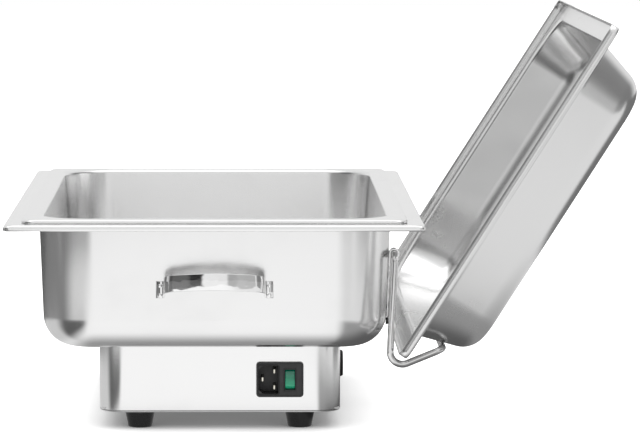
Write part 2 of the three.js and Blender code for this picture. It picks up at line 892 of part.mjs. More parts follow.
function footPlaces() {
  const places = [];
  for (const sideY of [-1, 1]) {
    for (const sideX of [-1, 1]) {
      places.push({ x: baseShift + sideX * footSpacingX / 2, y: sideY * footSpacingY / 2, z: 0 });
    }
  }
  return places;
}

function baseHousing() {
  const top = panBottom - touchGap;
  const bottom = basePlateSheet + touchGap;
  const plan = {
    halfX: baseWidth / 2,
    halfY: baseLength / 2,
    cornerRadius: baseCornerRadius,
    rimReach: baseSheet,
    rimRadius: baseCornerRadius,
  };
  const face = roundedPath([
    corner(0, bottom, 0),
    corner(0, top, 0, baseBendRadius),
    corner(-baseFlange, top, 0),
  ]);
  const shell = pressedSheet(plan, face, baseSheet, true).translate(baseShift, 0, 0);
  const strapLength = baseWidth - 2 * baseSheet + 2 * weldDepth;
  const straps = [-1, 1].map((side) => block(
    strapLength,
    strapWidth,
    strapSheet,
    baseShift,
    side * footSpacingY / 2,
    bottom + strapLift + strapSheet / 2,
  ));
  const screwBore = footScrewRadius + boreClearance;
  const studBore = studRadius + boreClearance;
  const knobPlace = { x: baseWallX, y: knobOffset, z: knobLevel };
  const cuts = [
    ...footPlaces().map((place) => along('z', place, 0, bottom + 2 * cutOverrun, screwBore)),
    ...housingStudPlaces().map((place) => along('z', place, -2 * cutOverrun, cutOverrun, studBore)),
    along('x', knobPlace, -cutOverrun, cutOverrun, shaftRadius + boreClearance),
  ];
  cuts.push(block(
    inletWidth - 2 * (inletBodyInset - touchGap),
    2 * cutOverrun,
    inletHeight - 2 * (inletBodyInset - touchGap),
    inletX,
    frontWallY,
    inletLevel,
  ));
  return piece('base_housing', carved(shell, straps, cuts), coated);
}

function basePlate() {
  const holes = footPlaces().map(({ x, y }) => ({ x, y, radius: footScrewRadius + boreClearance }));
  return piece('base_plate', plate(
    baseWidth - 2 * basePlateInset,
    baseLength - 2 * basePlateInset,
    basePlateSheet,
    baseCornerRadius - basePlateInset,
    baseShift,
    0,
    0,
    holes,
  ), steel);
}

function housingNuts() {
  return housingStudPlaces().map(({ x, y }, i) => {
    const top = panBottom - touchGap - baseSheet - touchGap;
    const nut = nutAt(x, y, top);
    return piece(`housing_nut_${i + 1}`, nut, steel);
  });
}

// A six-sided nut round a stud, its upper face at the level top.
function nutAt(x, y, top) {
  const bore = (studRadius + boreClearance) / Math.cos(Math.PI / nutSides);
  return turned([
    [bore, top - nutHeight],
    [nutRadius, top - nutHeight],
    [nutRadius, top],
    [bore, top],
  ], nutSides).translate(x, y, 0);
}

function feet() {
  return footPlaces().map(({ x, y }, i) => {
    const bore = footScrewRadius + boreClearance;
    const shape = turned([
      [bore, -touchGap],
      [bore, footRecessDepth - footHeight],
      [footRecessRadius, footRecessDepth - footHeight],
      [footRecessRadius, -footHeight],
      [footSoleRadius - footEdgeRadius / 2, -footHeight],
      [footSoleRadius, footEdgeRadius - footHeight],
      [footTopRadius, -footEdgeRadius],
      [footTopRadius, -touchGap],
    ]).translate(x, y, 0);
    return piece(`foot_${i + 1}`, shape, black);
  });
}

function footScrews() {
  const head = footRecessDepth - footHeight - touchGap;
  const end = basePlateSheet + touchGap + strapSheet + footScrewEnd;
  return footPlaces().map(({ x, y }, i) => {
    const shape = turned([
      [0, head - footScrewHeadHeight],
      [footScrewHeadRadius, head - footScrewHeadHeight],
      [footScrewHeadRadius, head],
      [footScrewRadius, head],
      [footScrewRadius, end],
      [0, end],
    ], wireSides * 2).translate(x, y, 0);
    return piece(`foot_screw_${i + 1}`, shape, steel);
  });
}

const bezelFront = frontWallY - touchGap - inletBezel;
const socketX = inletX - socketOffset;
const rockerX = inletX + rockerOffset;

function powerInlet() {
  const bezel = plate(inletWidth, inletHeight, inletBezel, inletCornerRadius, 0, 0, 0)
    .rotateX(Math.PI / 2)
    .translate(inletX, bezelFront + inletBezel, inletLevel);
  const body = block(
    inletWidth - 2 * inletBodyInset,
    inletDepth,
    inletHeight - 2 * inletBodyInset,
    inletX,
    bezelFront + inletBezel - weldDepth + inletDepth / 2,
    inletLevel,
  );
  const halfW = socketWidth / 2;
  const halfH = socketHeight / 2;
  const outline = new THREE.Shape();
  outline.moveTo(halfW, -halfH);
  outline.lineTo(halfW, halfH);
  outline.lineTo(socketChamfer - halfW, halfH);
  outline.lineTo(-halfW, halfH - socketChamfer);
  outline.lineTo(-halfW, socketChamfer - halfH);
  outline.lineTo(socketChamfer - halfW, -halfH);
  outline.closePath();
  const socket = extruded(outline, socketDepth + cutOverrun)
    .rotateX(Math.PI / 2)
    .translate(socketX, bezelFront + socketDepth, inletLevel);
  const well = block(
    rockerWidth + 2 * rockerClearance,
    rockerWellDepth + cutOverrun,
    2 * (rockerRadius + rockerClearance),
    rockerX,
    bezelFront + (rockerWellDepth - cutOverrun) / 2,
    inletLevel,
  );
  const slots = pinPlaces().map(({ x, z, across, tall }) => block(
    across + 2 * boreClearance,
    inletDepth,
    tall + 2 * boreClearance,
    x,
    bezelFront + inletDepth,
    z,
  ));
  return piece('power_inlet', carved(bezel, [body], [socket, well, ...slots]), charcoal);
}

function pinPlaces() {
  const contact = { across: pinThickness, tall: pinWidth };
  return [
    { name: 'inlet_pin_live', x: socketX + pinEarthOffset, z: inletLevel + pinSpacing / 2, ...contact },
    { name: 'inlet_pin_neutral', x: socketX + pinEarthOffset, z: inletLevel - pinSpacing / 2, ...contact },
    { name: 'inlet_pin_earth', x: socketX - pinEarthOffset, z: inletLevel, ...contact },
  ];
}

const pinBack = bezelFront + inletBezel + inletDepth - weldDepth + pinTail;

function inletPins() {
  const front = bezelFront + pinSetback;
  return pinPlaces().map(({ name, x, z, across, tall }) => piece(
    name,
    block(across, pinBack - front, tall, x, (pinBack + front) / 2, z),
    brass,
  ));
}

// The rocker turns about X: its ends are arcs round the pivot and its face is dished.
function switchRocker() {
  const face = Math.sqrt(rockerRadius ** 2 - rockerCrest ** 2);
  const back = Math.sqrt(rockerRadius ** 2 - rockerBack ** 2);
  const points = [new THREE.Vector2(-face + rockerDish, 0)];
  const firstAngle = Math.atan2(rockerCrest, -face);
  const lastAngle = Math.atan2(back, rockerBack);
  for (const side of [1, -1]) {
    const arc = [];
    for (let k = 0; k <= broadBendSteps; k += 1) {
      const angle = THREE.MathUtils.lerp(firstAngle, lastAngle, k / broadBendSteps);
      arc.push(new THREE.Vector2(rockerRadius * Math.cos(angle), side * rockerRadius * Math.sin(angle)));
    }
    points.push(...(side > 0 ? arc : arc.reverse()));
  }
  const shape = extruded(new THREE.Shape(points), rockerWidth)
    .translate(0, 0, -rockerWidth / 2)
    .applyMatrix4(new THREE.Matrix4().makeBasis(
      new THREE.Vector3(0, 1, 0),
      new THREE.Vector3(0, 0, 1),
      new THREE.Vector3(1, 0, 0),
    ));
  const rocker = piece('switch_rocker', shape, green);
  rocker.position.set(rockerX, bezelFront + rockerPivotDepth, inletLevel);
  rocker.rotation.x = -rockerTilt;
  return rocker;
}

function thermostat() {
  const wallInside = baseWallX - baseSheet;
  const bodyX = wallInside - touchGap - thermostatDepth / 2;
  const body = block(thermostatDepth, thermostatWidth, thermostatHeight, bodyX, knobOffset, knobLevel);
  const knobBack = baseWallX + knobStandoff;
  const shaftStart = wallInside - shaftInside;
  const shaftEnd = knobBack + knobBoreDepth - touchGap;
  const at = (x) => new THREE.Vector3(x, knobOffset, knobLevel);
  const bore = rod(at(shaftStart - touchGap), at(baseWallX), shaftRadius + boreClearance, wireSides * 2);
  const knob = turned([
    [0, knobBoreDepth],
    [shaftRadius + boreClearance, knobBoreDepth],
    [shaftRadius + boreClearance, 0],
    [knobRadius, 0],
    [knobRadius, knobHeight / 2],
    [knobRadius - knobTaper, knobHeight],
    [0, knobHeight],
  ], turnedSides + wireSides)
    .rotateY(Math.PI / 2)
    .translate(knobBack, knobOffset, knobLevel);
  return [
    piece('thermostat_body', carved(body, [], [bore]), ceramic),
    piece('thermostat_shaft', rod(at(shaftStart), at(shaftEnd), shaftRadius, wireSides * 2), steel),
    piece('thermostat_knob', knob, black),
  ];
}

function heater() {
  const bore = studRadius + boreClearance;
  const holes = heaterStudPlaces().map(({ x, y }) => ({ x, y, radius: bore }));
  const spreader = plate(
    heaterPlateWidth,
    heaterPlateLength,
    heaterPlateSheet,
    plateCornerRadius,
    baseShift,
    0,
    heaterPlateTop - heaterPlateSheet,
    holes,
  );
  const padShape = (thickness, top) => plate(
    padWidth,
    padLength,
    thickness,
    plateCornerRadius,
    baseShift,
    0,
    top - thickness,
    holes,
  );
  const inner = elementLane / 2;
  const outer = inner + elementLane / 2;
  const end = elementHalfLength;
  const tail = -elementHalfLength - elementLane / 4;
  const element = tube([
    corner(baseShift - outer, tail, elementLevel - elementTail),
    corner(baseShift - outer, tail, elementLevel, elementRadius * 2),
    corner(baseShift - outer, end, elementLevel, elementLane / 4),
    corner(baseShift - inner, end, elementLevel, elementLane / 4),
    corner(baseShift - inner, -end, elementLevel, inner / 2),
    corner(baseShift + inner, -end, elementLevel, inner / 2),
    corner(baseShift + inner, end, elementLevel, elementLane / 4),
    corner(baseShift + outer, end, elementLevel, elementLane / 4),
    corner(baseShift + outer, tail, elementLevel, elementRadius * 2),
    corner(baseShift + outer, tail, elementLevel - elementTail),
  ], elementRadius);
  const pieces = [
    piece('heater_plate', spreader, aluminium),
    piece('heating_element', element, steel),
    piece('insulation_pad', padShape(padThickness, padTop), wool),
    piece('press_plate', padShape(pressPlateSheet, pressPlateTop), steel),
  ];
  heaterStudPlaces().forEach(({ x, y }, i) => {
    pieces.push(piece(`heater_nut_${i + 1}`, nutAt(x, y, pressPlateTop - pressPlateSheet - touchGap), steel));
  });
  return pieces;
}

function electrics() {
  const plateUnder = heaterPlateTop - heaterPlateSheet - touchGap;
  const cutoutY = (elementHalfLength + padLength / 2) / 2 + cutoutRadius;
  const cutout = turned([
    [0, plateUnder - cutoutHeight],
    [cutoutRadius, plateUnder - cutoutHeight],
    [cutoutRadius, plateUnder],
    [0, plateUnder],
  ]).translate(baseShift, cutoutY, 0);
  const blockX = inletX - terminalOffset;
  const blockY = pinBack + terminalDepth * 2;
  const blockLow = basePlateSheet + touchGap;
  const blockTop = blockLow + terminalHeight;
  const grooves = [-1, 0, 1].map((lane) => block(
    terminalGroove,
    terminalDepth + cutOverrun,
    terminalGroove,
    blockX + lane * terminalWidth / 3,
    blockY,
    blockTop - terminalGroove / 2 + weldDepth,
  ));
  const blockLevel = blockLow + terminalHeight / 2;
  const body = block(terminalWidth, terminalDepth, terminalHeight, blockX, blockY, blockLevel);
  return [
    piece('thermal_cutout', cutout, ceramic),
    piece('terminal_block', carved(body, [], grooves), ceramic),
    ...leads(blockX, blockY - terminalDepth / 2 - touchGap, blockLevel),
    sensor(plateUnder, cutoutY),
  ];
}

// Leads from the pins to the terminal block, and from the block to the heating element.
function leads(blockX, blockFront, level) {
  const pins = pinPlaces();
  const lane = terminalWidth / 3;
  const start = pinBack + touchGap;
  const toBlock = (pin, x, turnShare) => {
    const turn = THREE.MathUtils.lerp(start, blockFront, turnShare);
    return tube([
      corner(pin.x, start, pin.z),
      corner(pin.x, turn, pin.z, leadRadius),
      corner(x, turn, level, leadRadius),
      corner(x, blockFront, level),
    ], leadRadius, leadSides, leadSteps);
  };
  const elementX = baseShift - elementLane;
  const elementY = -elementHalfLength - elementLane / 4;
  const elementEnd = elementLevel - elementTail - touchGap;
  const backY = blockFront + terminalDepth + 2 * touchGap;
  const turnY = backY + leadBendRadius * 2;
  const toElement = tube([
    corner(blockX - lane, backY, level),
    corner(blockX - lane, turnY, level, leadBendRadius / 2),
    corner(elementX, turnY, level, leadBendRadius / 2),
    corner(elementX, elementY, level, leadBendRadius / 2),
    corner(elementX, elementY, elementEnd),
  ], leadRadius, leadSides, leadSteps);
  return [
    piece('live_lead', toBlock(pins[0], blockX + lane, liveTurnShare), brown),
    piece('neutral_lead', toBlock(pins[1], blockX, neutralTurnShare), blue),
    piece('element_lead', toElement, brown),
  ];
}

// The sensor lies under the heater plate and its fine tube runs to the thermostat.
function sensor(top, cutoutY) {
  const level = top - sensorRadius;
  const y = cutoutY + cutoutRadius + sensorRadius + touchGap;
  const bulb = rod(
    new THREE.Vector3(baseShift - sensorLength / 2, y, level),
    new THREE.Vector3(baseShift + sensorLength / 2, y, level),
    sensorRadius,
    wireSides,
  );
  const wallX = baseWallX - baseSheet - touchGap - thermostatDepth / 2;
  const turnX = (wallX + padWidth / 2 + baseShift) / 2;
  const line = tube([
    corner(baseShift + sensorLength / 2 - weldDepth, y, level),
    corner(turnX, y, level, leadBendRadius),
    corner(turnX, knobOffset + thermostatWidth, level, leadBendRadius),
    corner(wallX, knobOffset + thermostatWidth, level - leadBendRadius, leadBendRadius / 2),
    corner(wallX, knobOffset + thermostatWidth, knobLevel, leadBendRadius / 2),
    corner(wallX, knobOffset + thermostatWidth / 2 + touchGap, knobLevel),
  ], capillaryRadius, leadSides, leadSteps);
  return piece('thermostat_sensor', carved(bulb, [line], []), brass);
}

const dish = new THREE.Group();
dish.add(
  waterPan(),
  foodPan(),
  openLid(),
  lidHolder(),
  holderBracket(-1, 'holder_bracket_near'),
  holderBracket(1, 'holder_bracket_far'),
  ...bracketRivets(),
  bracketBuffer(-1, 'bracket_buffer_near'),
  bracketBuffer(1, 'bracket_buffer_far'),
  carryingHandle(-1, 'handle_near'),
  carryingHandle(1, 'handle_far'),
  ...handleRivets(),
  baseHousing(),
  basePlate(),
  ...housingNuts(),
  ...feet(),
  ...footScrews(),
  powerInlet(),
  ...inletPins(),
  switchRocker(),
  ...thermostat(),
  ...heater(),
  ...electrics(),
);

export default dish;
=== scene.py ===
"""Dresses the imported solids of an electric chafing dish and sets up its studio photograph.

Classes hold their sizes in millimetres, in the frame of the solids: +X across the dish towards the
lid holder, +Y along it away from the switch, +Z up. Points become metres where a mesh is made.
"""

import logging
import math
from dataclasses import dataclass
from enum import Enum
from typing import Iterable, Sequence

import bpy
import numpy as np
from mathutils import Matrix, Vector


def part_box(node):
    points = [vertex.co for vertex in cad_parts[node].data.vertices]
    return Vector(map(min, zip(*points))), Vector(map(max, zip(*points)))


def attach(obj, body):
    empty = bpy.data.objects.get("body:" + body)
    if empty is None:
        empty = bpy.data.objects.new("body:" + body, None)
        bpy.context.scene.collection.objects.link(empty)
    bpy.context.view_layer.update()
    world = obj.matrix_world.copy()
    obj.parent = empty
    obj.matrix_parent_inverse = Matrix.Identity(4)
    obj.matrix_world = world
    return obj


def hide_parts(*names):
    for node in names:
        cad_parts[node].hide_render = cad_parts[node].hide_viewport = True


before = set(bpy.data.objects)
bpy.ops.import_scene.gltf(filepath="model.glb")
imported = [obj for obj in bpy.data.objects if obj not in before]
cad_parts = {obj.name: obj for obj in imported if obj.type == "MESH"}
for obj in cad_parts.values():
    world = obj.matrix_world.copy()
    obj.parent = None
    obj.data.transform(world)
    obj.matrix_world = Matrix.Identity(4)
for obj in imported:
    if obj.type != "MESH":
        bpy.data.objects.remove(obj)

LOG = logging.getLogger("chafing_dish")
MM = 0.001
TOUCH = 0.3
FINE_STEP = math.radians(5)
FLAT_SHARE = 0.4
THIN_SHARE = 0.05
LEAST_FLAT = 0.02
LEAST_RADIUS = 0.05
BLOCK_FLAT = 0.2
CAP_SHARE = 0.9
RIDGE_FADE = 6
CROWN_SPOTS = 11
DOME_SPOTS = 9
DOME_SWEEP = math.pi / 2 * 0.96
DOME_FOOT = 0.25
HEAD_CHAMFER = (0.92, 0.9)
ROUND_SPOTS = 24
SMOOTH_SPOTS = 32
MIX_LOW = 6
MIX_HIGH = 7
MIX_RESULT = 2
Line = np.ndarray


# Shapes


def unit(vectors: np.ndarray) -> np.ndarray:
    """Vectors divided by their own lengths.

    Args:
        vectors: one vector or rows of vectors.

    Returns:
        The same directions at length one.
    """
    return vectors / np.linalg.norm(vectors, axis=-1, keepdims=True)


def turn(axis: str, angle: float) -> np.ndarray:
    """A right-handed turn about a main axis.

    Args:
        axis: "x", "y" or "z".
        angle: the turn in radians.

    Returns:
        A 3 by 3 matrix for column vectors.
    """
    c, s = math.cos(angle), math.sin(angle)
    if axis == "x":
        return np.array([[1, 0, 0], [0, c, -s], [0, s, c]])
    if axis == "y":
        return np.array([[c, 0, s], [0, 1, 0], [-s, 0, c]])
    return np.array([[c, -s, 0], [s, c, 0], [0, 0, 1]])


def rounded_line(corners: Sequence[Sequence[float]], radii: Sequence[float], margin: float = 0.9) -> Line:
    """Straight runs joined by arcs: each arc point is the sine-weighted mean of the arc's two radii.

    A point a little before and after each arc keeps the flats flat under smooth shading.

    Args:
        corners: the corner points, in two or three dimensions.
        radii: one arc radius for each corner, of which the first and last are not used.
        margin: how far from an arc its two flat points lie.

    Returns:
        The line's points as rows.
    """
    spots = np.array(corners, float)
    runs = np.linalg.norm(np.diff(spots, axis=0), axis=1)
    ways = unit(np.diff(spots, axis=0))
    halves = np.pi / 2 - np.arccos(np.clip((ways[:-1] * ways[1:]).sum(1), -1, 1)) / 2
    reach = np.zeros(len(spots))
    reach[1:-1] = np.array(radii, float)[1:-1] / np.tan(halves)
    spare = runs - reach[:-1] - reach[1:]
    made = [spots[:1]]
    for i in range(1, len(spots) - 1):
        back, ahead, radius = -ways[i - 1], ways[i], radii[i]
        if radius == 0:
            made.append(spots[i : i + 1])
            continue
        centre = spots[i] + unit(back + ahead) * radius / math.sin(halves[i - 1])
        sweep = math.pi - 2 * halves[i - 1]
        angle = np.linspace(0, sweep, max(3, math.ceil(sweep / FINE_STEP)) + 1)[:, None]
        first, last = spots[i] + back * reach[i] - centre, spots[i] + ahead * reach[i] - centre
        arc = centre + (first * np.sin(sweep - angle) + last * np.sin(angle)) / math.sin(sweep)
        before, after = min(margin, spare[i - 1] * FLAT_SHARE), min(margin, spare[i] * FLAT_SHARE)
        made += [
            spots[i : i + 1] + back * (reach[i] + before) if before > LEAST_FLAT else arc[:0],
            arc,
            spots[i : i + 1] + ahead * (reach[i] + after) if after > LEAST_FLAT else arc[:0],
        ]
    return np.vstack([*made, spots[-1:]])


def offset_line(line: Line, distance: float) -> Line:
    """A flat line moved to its left, with each corner at the meeting of its two moved runs.

    Args:
        line: points in two dimensions.
        distance: how far to move, negative for the right-hand side.

    Returns:
        The moved points.
    """
    ways = unit(np.diff(line, axis=0))
    ahead, back = np.vstack([ways, ways[-1:]]), np.vstack([ways[:1], ways])
    middle = unit(ahead + back)
    reach = distance / (middle * ahead).sum(1)
    return line + np.stack([-middle[:, 1], middle[:, 0]], 1) * reach[:, None]


@dataclass
class Skin:
    """A mesh as arrays: points in millimetres, four-sided faces and three-sided faces."""

    points: np.ndarray
    quads: np.ndarray
    triangles: np.ndarray

    @classmethod
    def woven(
        cls, grid: np.ndarray, looped: bool = False, capped: bool = True, turned_out: bool = True
    ) -> "Skin":
        """Faces over a grid of closed rings: each face joins two spots of a ring to the next ring.

        Args:
            grid: points by ring, spot and coordinate.
            looped: joins the last ring to the first.
            capped: closes the first and last ring with a fan round its middle.
            turned_out: turns the faces round if the signed volume is negative.

        Returns:
            The skin.
        """
        rings, spots = grid.shape[:2]
        index = np.arange(rings * spots).reshape(rings, spots)
        index = np.vstack([index, index[:1]]) if looped else index
        index = np.hstack([index, index[:, :1]])
        sides = [index[:-1, :-1], index[:-1, 1:], index[1:, 1:], index[1:, :-1]]
        quads = np.stack(sides, -1).reshape(-1, 4)
        points, fans = grid.reshape(-1, 3), []
        if capped and not looped:
            hubs = np.stack([grid[0].mean(0), grid[-1].mean(0)])
            hub = len(points)
            points = np.vstack([points, hubs])
            low, high = index[0], index[rings - 1]
            fans = [
                np.stack([low[1:], low[:-1], np.full(spots, hub)], 1),
                np.stack([high[:-1], high[1:], np.full(spots, hub + 1)], 1),
            ]
        skin = cls(points, quads, np.vstack(fans) if fans else np.zeros((0, 3), int))
        return skin.outward() if turned_out else skin

    @classmethod
    def joined(cls, skins: Iterable["Skin"]) -> "Skin":
        """Several skins as one, each face index moved past the points before it.

        Args:
            skins: the skins to join.

        Returns:
            One skin of them all.
        """
        skins = list(skins)
        starts = np.cumsum([0] + [len(s.points) for s in skins[:-1]])
        return cls(
            np.vstack([s.points for s in skins]),
            np.vstack([s.quads + n for s, n in zip(skins, starts)]),
            np.vstack([s.triangles + n for s, n in zip(skins, starts)]),
        )

    def corners(self) -> np.ndarray:
        """All faces as triangles of point indices."""
        return np.vstack([self.quads[:, [0, 1, 2]], self.quads[:, [0, 2, 3]], self.triangles]).astype(int)

    def outward(self) -> "Skin":
        """The skin with its faces turned out: the sum of a . (b x c) over its triangles is positive.

        Returns:
            This skin, or the same one with every face turned round.
        """
        a, b, c = (self.points[self.corners()[:, k]] for k in range(3))
        if (a * np.cross(b, c)).sum() >= 0:
            return self
        return Skin(self.points, self.quads[:, ::-1], self.triangles[:, ::-1])

    def placed(self, matrix: np.ndarray | None = None, at: Sequence[float] = (0, 0, 0)) -> "Skin":
        """The skin turned by a matrix and then moved.

        Args:
            matrix: a 3 by 3 turn, or none.
            at: the move in millimetres.

        Returns:
            The placed skin.
        """
        points = self.points if matrix is None else self.points @ np.asarray(matrix, float).T
        return Skin(points + np.array(at, float), self.quads, self.triangles)


@dataclass(frozen=True)
class RoundedPlan:
    """A rounded rectangle seen from above, whose corner radius changes from its wall to its rim."""

    half_x: float
    half_y: float
    corner: float
    rim_reach: float = 1.0
    rim_corner: float | None = None
    middle_x: float = 0.0
    flat_margin: float = 1.5

    def rings(self, line: Line, front_marks: Sequence[float] = ()) -> np.ndarray:
        """A ring for each point of a profile.

        Each spot is its corner's centre plus the radius times the cosine and sine of its angle. The
        radius goes from the wall's to the rim's with the reach, and shrinks with it further in.

        Args:
            line: the profile's reach from the wall and its level, by row.
            front_marks: x places of extra spots on the side that faces -Y.

        Returns:
            Points by profile row, spot and coordinate.
        """
        reach, level = line[:, :1], line[:, 1:2]
        rim = self.corner if self.rim_corner is None else self.rim_corner
        share = np.clip(reach / self.rim_reach, 0, 1)
        radius = np.where(reach > 0, self.corner + (rim - self.corner) * share, self.corner + reach)
        radius = np.maximum(radius, LEAST_RADIUS)
        steps = math.ceil(math.pi / 2 / FINE_STEP)
        arc = np.concatenate([[0], np.linspace(0, math.pi / 2, steps + 1), [math.pi / 2]])
        slide = np.concatenate([[-self.flat_margin], np.zeros(steps + 1), [self.flat_margin]])
        angle = np.concatenate([arc + k * math.pi / 2 for k in range(4)])[None]
        slides = np.tile(slide, 4)[None]
        signs = np.repeat([[1, 1], [-1, 1], [-1, -1], [1, -1]], len(arc), axis=0)
        x = signs[:, 0] * (self.half_x + reach - radius) + radius * np.cos(angle) - slides * np.sin(angle)
        y = signs[:, 1] * (self.half_y + reach - radius) + radius * np.sin(angle) + slides * np.cos(angle)
        if len(front_marks):
            cut = 3 * len(arc)
            marks = np.tile(np.array(front_marks) - self.middle_x, (len(line), 1))
            front = np.broadcast_to(-(self.half_y + reach), marks.shape)
            x = np.hstack([x[:, :cut], marks, x[:, cut:]])
            y = np.hstack([y[:, :cut], front, y[:, cut:]])
        return np.stack([x + self.middle_x, y, np.broadcast_to(level, x.shape)], -1)

    def pressed(self, face: Line, sheet: float) -> Skin:
        """A pressed sheet: a profile from the middle outwards, and the same profile moved by the sheet."""
        return Skin.woven(self.rings(np.vstack([face, offset_line(face, sheet)[::-1]])))


def turned(
    profile: Sequence[Sequence[float]],
    spots: int = 48,
    looped: bool = False,
    ridges: tuple[int, float] = (0, 0),
) -> Skin:
    """A turned piece about Z: each profile point goes round at its radius.

    Args:
        profile: radius and level by row.
        spots: how many places round the axis.
        looped: joins the profile's end to its start, for a piece with a bore.
        ridges: how many ridges run up the side, and how deep the grooves between them are.

    Returns:
        The closed skin.
    """
    line = np.array(profile, float)
    angle = np.linspace(0, 2 * math.pi, spots, endpoint=False)[None]
    fade = (line[:, :1] / line[:, 0].max()) ** RIDGE_FADE
    depth = ridges[1] * (0.5 - 0.5 * np.cos(ridges[0] * angle)) * fade
    radius = line[:, :1] - depth
    level = np.broadcast_to(line[:, 1:2], radius.shape)
    grid = np.stack([radius * np.cos(angle), radius * np.sin(angle), level], -1)
    return Skin.woven(grid, looped=looped)


def round_section(radius: float, spots: int = 20) -> Line:
    """A circle as points across a path."""
    angle = np.linspace(0, 2 * math.pi, spots, endpoint=False)
    return np.stack([np.cos(angle), np.sin(angle)], 1) * radius


def flat_section(thickness: float, width: float, edge: float) -> Line:
    """A rounded rectangle across a path: quarter arcs of the edge radius round its four corners.

    Args:
        thickness: its extent along the first axis.
        width: its extent along the second axis.
        edge: the radius of its corners.

    Returns:
        The section's points.
    """
    margin = min(edge * FLAT_SHARE, thickness * THIN_SHARE)
    plan = RoundedPlan(thickness / 2, width / 2, edge, flat_margin=margin)
    return plan.rings(np.array([[0.0, 0.0]]))[0, :, :2]


def crowned_section(thickness: float, width: float, edge: float, crown: float) -> Line:
    """A flat section whose first side leans back: by the crown times the square of its rise.

    Args:
        thickness: the strap's thickness.
        width: the strap's height.
        edge: the radius of its four edges.
        crown: how far the upper edge lies back.

    Returns:
        The section's points.
    """
    section = flat_section(thickness, width, edge)
    places = np.linspace(width / 2 - edge, edge - width / 2, CROWN_SPOTS)[1:-1]
    turn_at = int(np.argmin(np.abs(section - [-thickness / 2, width / 2 - edge]).sum(1)))
    flat = np.stack([np.full(len(places), -thickness / 2), places], 1)
    section = np.vstack([section[: turn_at + 2], flat, section[turn_at + 2 :]])
    draw = crown * (section[:, 1] / width + 0.5) ** 2 * (section[:, 0] < 0)
    return section + np.stack([draw, np.zeros(len(draw))], 1)


def swept(path: Line, section: Line, aside: Sequence[float], widths: np.ndarray | None = None) -> Skin:
    """A section carried along a path.

    The first section axis is the path's direction crossed with a fixed vector, and the second is
    that axis crossed with the direction.

    Args:
        path: points in three dimensions.
        section: points across the path.
        aside: the fixed vector, never along the path.
        widths: a scale of the section's first axis at each path point.

    Returns:
        The closed skin.
    """
    ways = unit(np.gradient(path, axis=0))
    first = unit(np.cross(ways, np.array(aside, float)))
    second = np.cross(first, ways)
    across = np.ones(len(path)) if widths is None else widths
    grid = path[:, None] + first[:, None] * (section[None, :, :1] * across[:, None, None])
    return Skin.woven(grid + second[:, None] * section[None, :, 1:])


def rounded_block(size: Sequence[float], at: Sequence[float], corner: float, edge: float) -> Skin:
    """A block with round upright corners and small round edges: rings that draw in at both ends.

    Args:
        size: its extent in x, y and z.
        at: its middle.
        corner: the radius of its upright corners.
        edge: the radius of its upper and lower edges.

    Returns:
        The closed skin.
    """
    half = size[2] / 2
    cap = -corner * CAP_SHARE
    line = rounded_line([(cap, -half), (0, -half), (0, half), (cap, half)], [0, edge, edge, 0], BLOCK_FLAT)
    plan = RoundedPlan(size[0] / 2, size[1] / 2, corner, flat_margin=BLOCK_FLAT)
    return Skin.woven(plan.rings(line)).placed(at=at)


# Shader graphs


class Shade:
    """One socket of a node graph, with arithmetic that adds Math nodes."""

    def __init__(self, graph: "Graph", socket: bpy.types.NodeSocket) -> None:
        """Keeps the graph and the output socket."""
        self.graph, self.socket = graph, socket

    def _math(self, operation: str, left: object, right: object) -> "Shade":
        """A Math node on two values or shades."""
        return self.graph.add("ShaderNodeMath", {"operation": operation}, {0: left, 1: right})

    def __add__(self, other: object) -> "Shade":
        """This plus the other."""
        return self._math("ADD", self, other)

    __radd__ = __add__

    def __mul__(self, other: object) -> "Shade":
        """This times the other."""
        return self._math("MULTIPLY", self, other)

    __rmul__ = __mul__

    def __sub__(self, other: object) -> "Shade":
        """This less the other."""
        return self._math("SUBTRACT", self, other)

    def __rsub__(self, other: object) -> "Shade":
        """The other less this."""
        return self._math("SUBTRACT", other, self)

    def __pow__(self, other: object) -> "Shade":
        """This to the other's power."""
        return self._math("POWER", self, other)

    def size(self) -> "Shade":
        """The value without its sign."""
        return self._math("ABSOLUTE", self, 0.0)

    def over(self, low: float) -> "Shade":
        """How far the value lies above the low one, or nought."""
        return self._math("MAXIMUM", self - low, 0.0)

    def angle(self, other: object) -> "Shade":
        """The angle in radians whose tangent is this over the other."""
        return self._math("ARCTAN2", self, other)

    def between(self, low: float, high: float) -> "Shade":
        """A soft step: nought below the low value, one above the high one."""
        inputs = {"Value": self, "From Min": low, "From Max": high}
        return self.graph.add("ShaderNodeMapRange", {"interpolation_type": "SMOOTHSTEP"}, inputs)


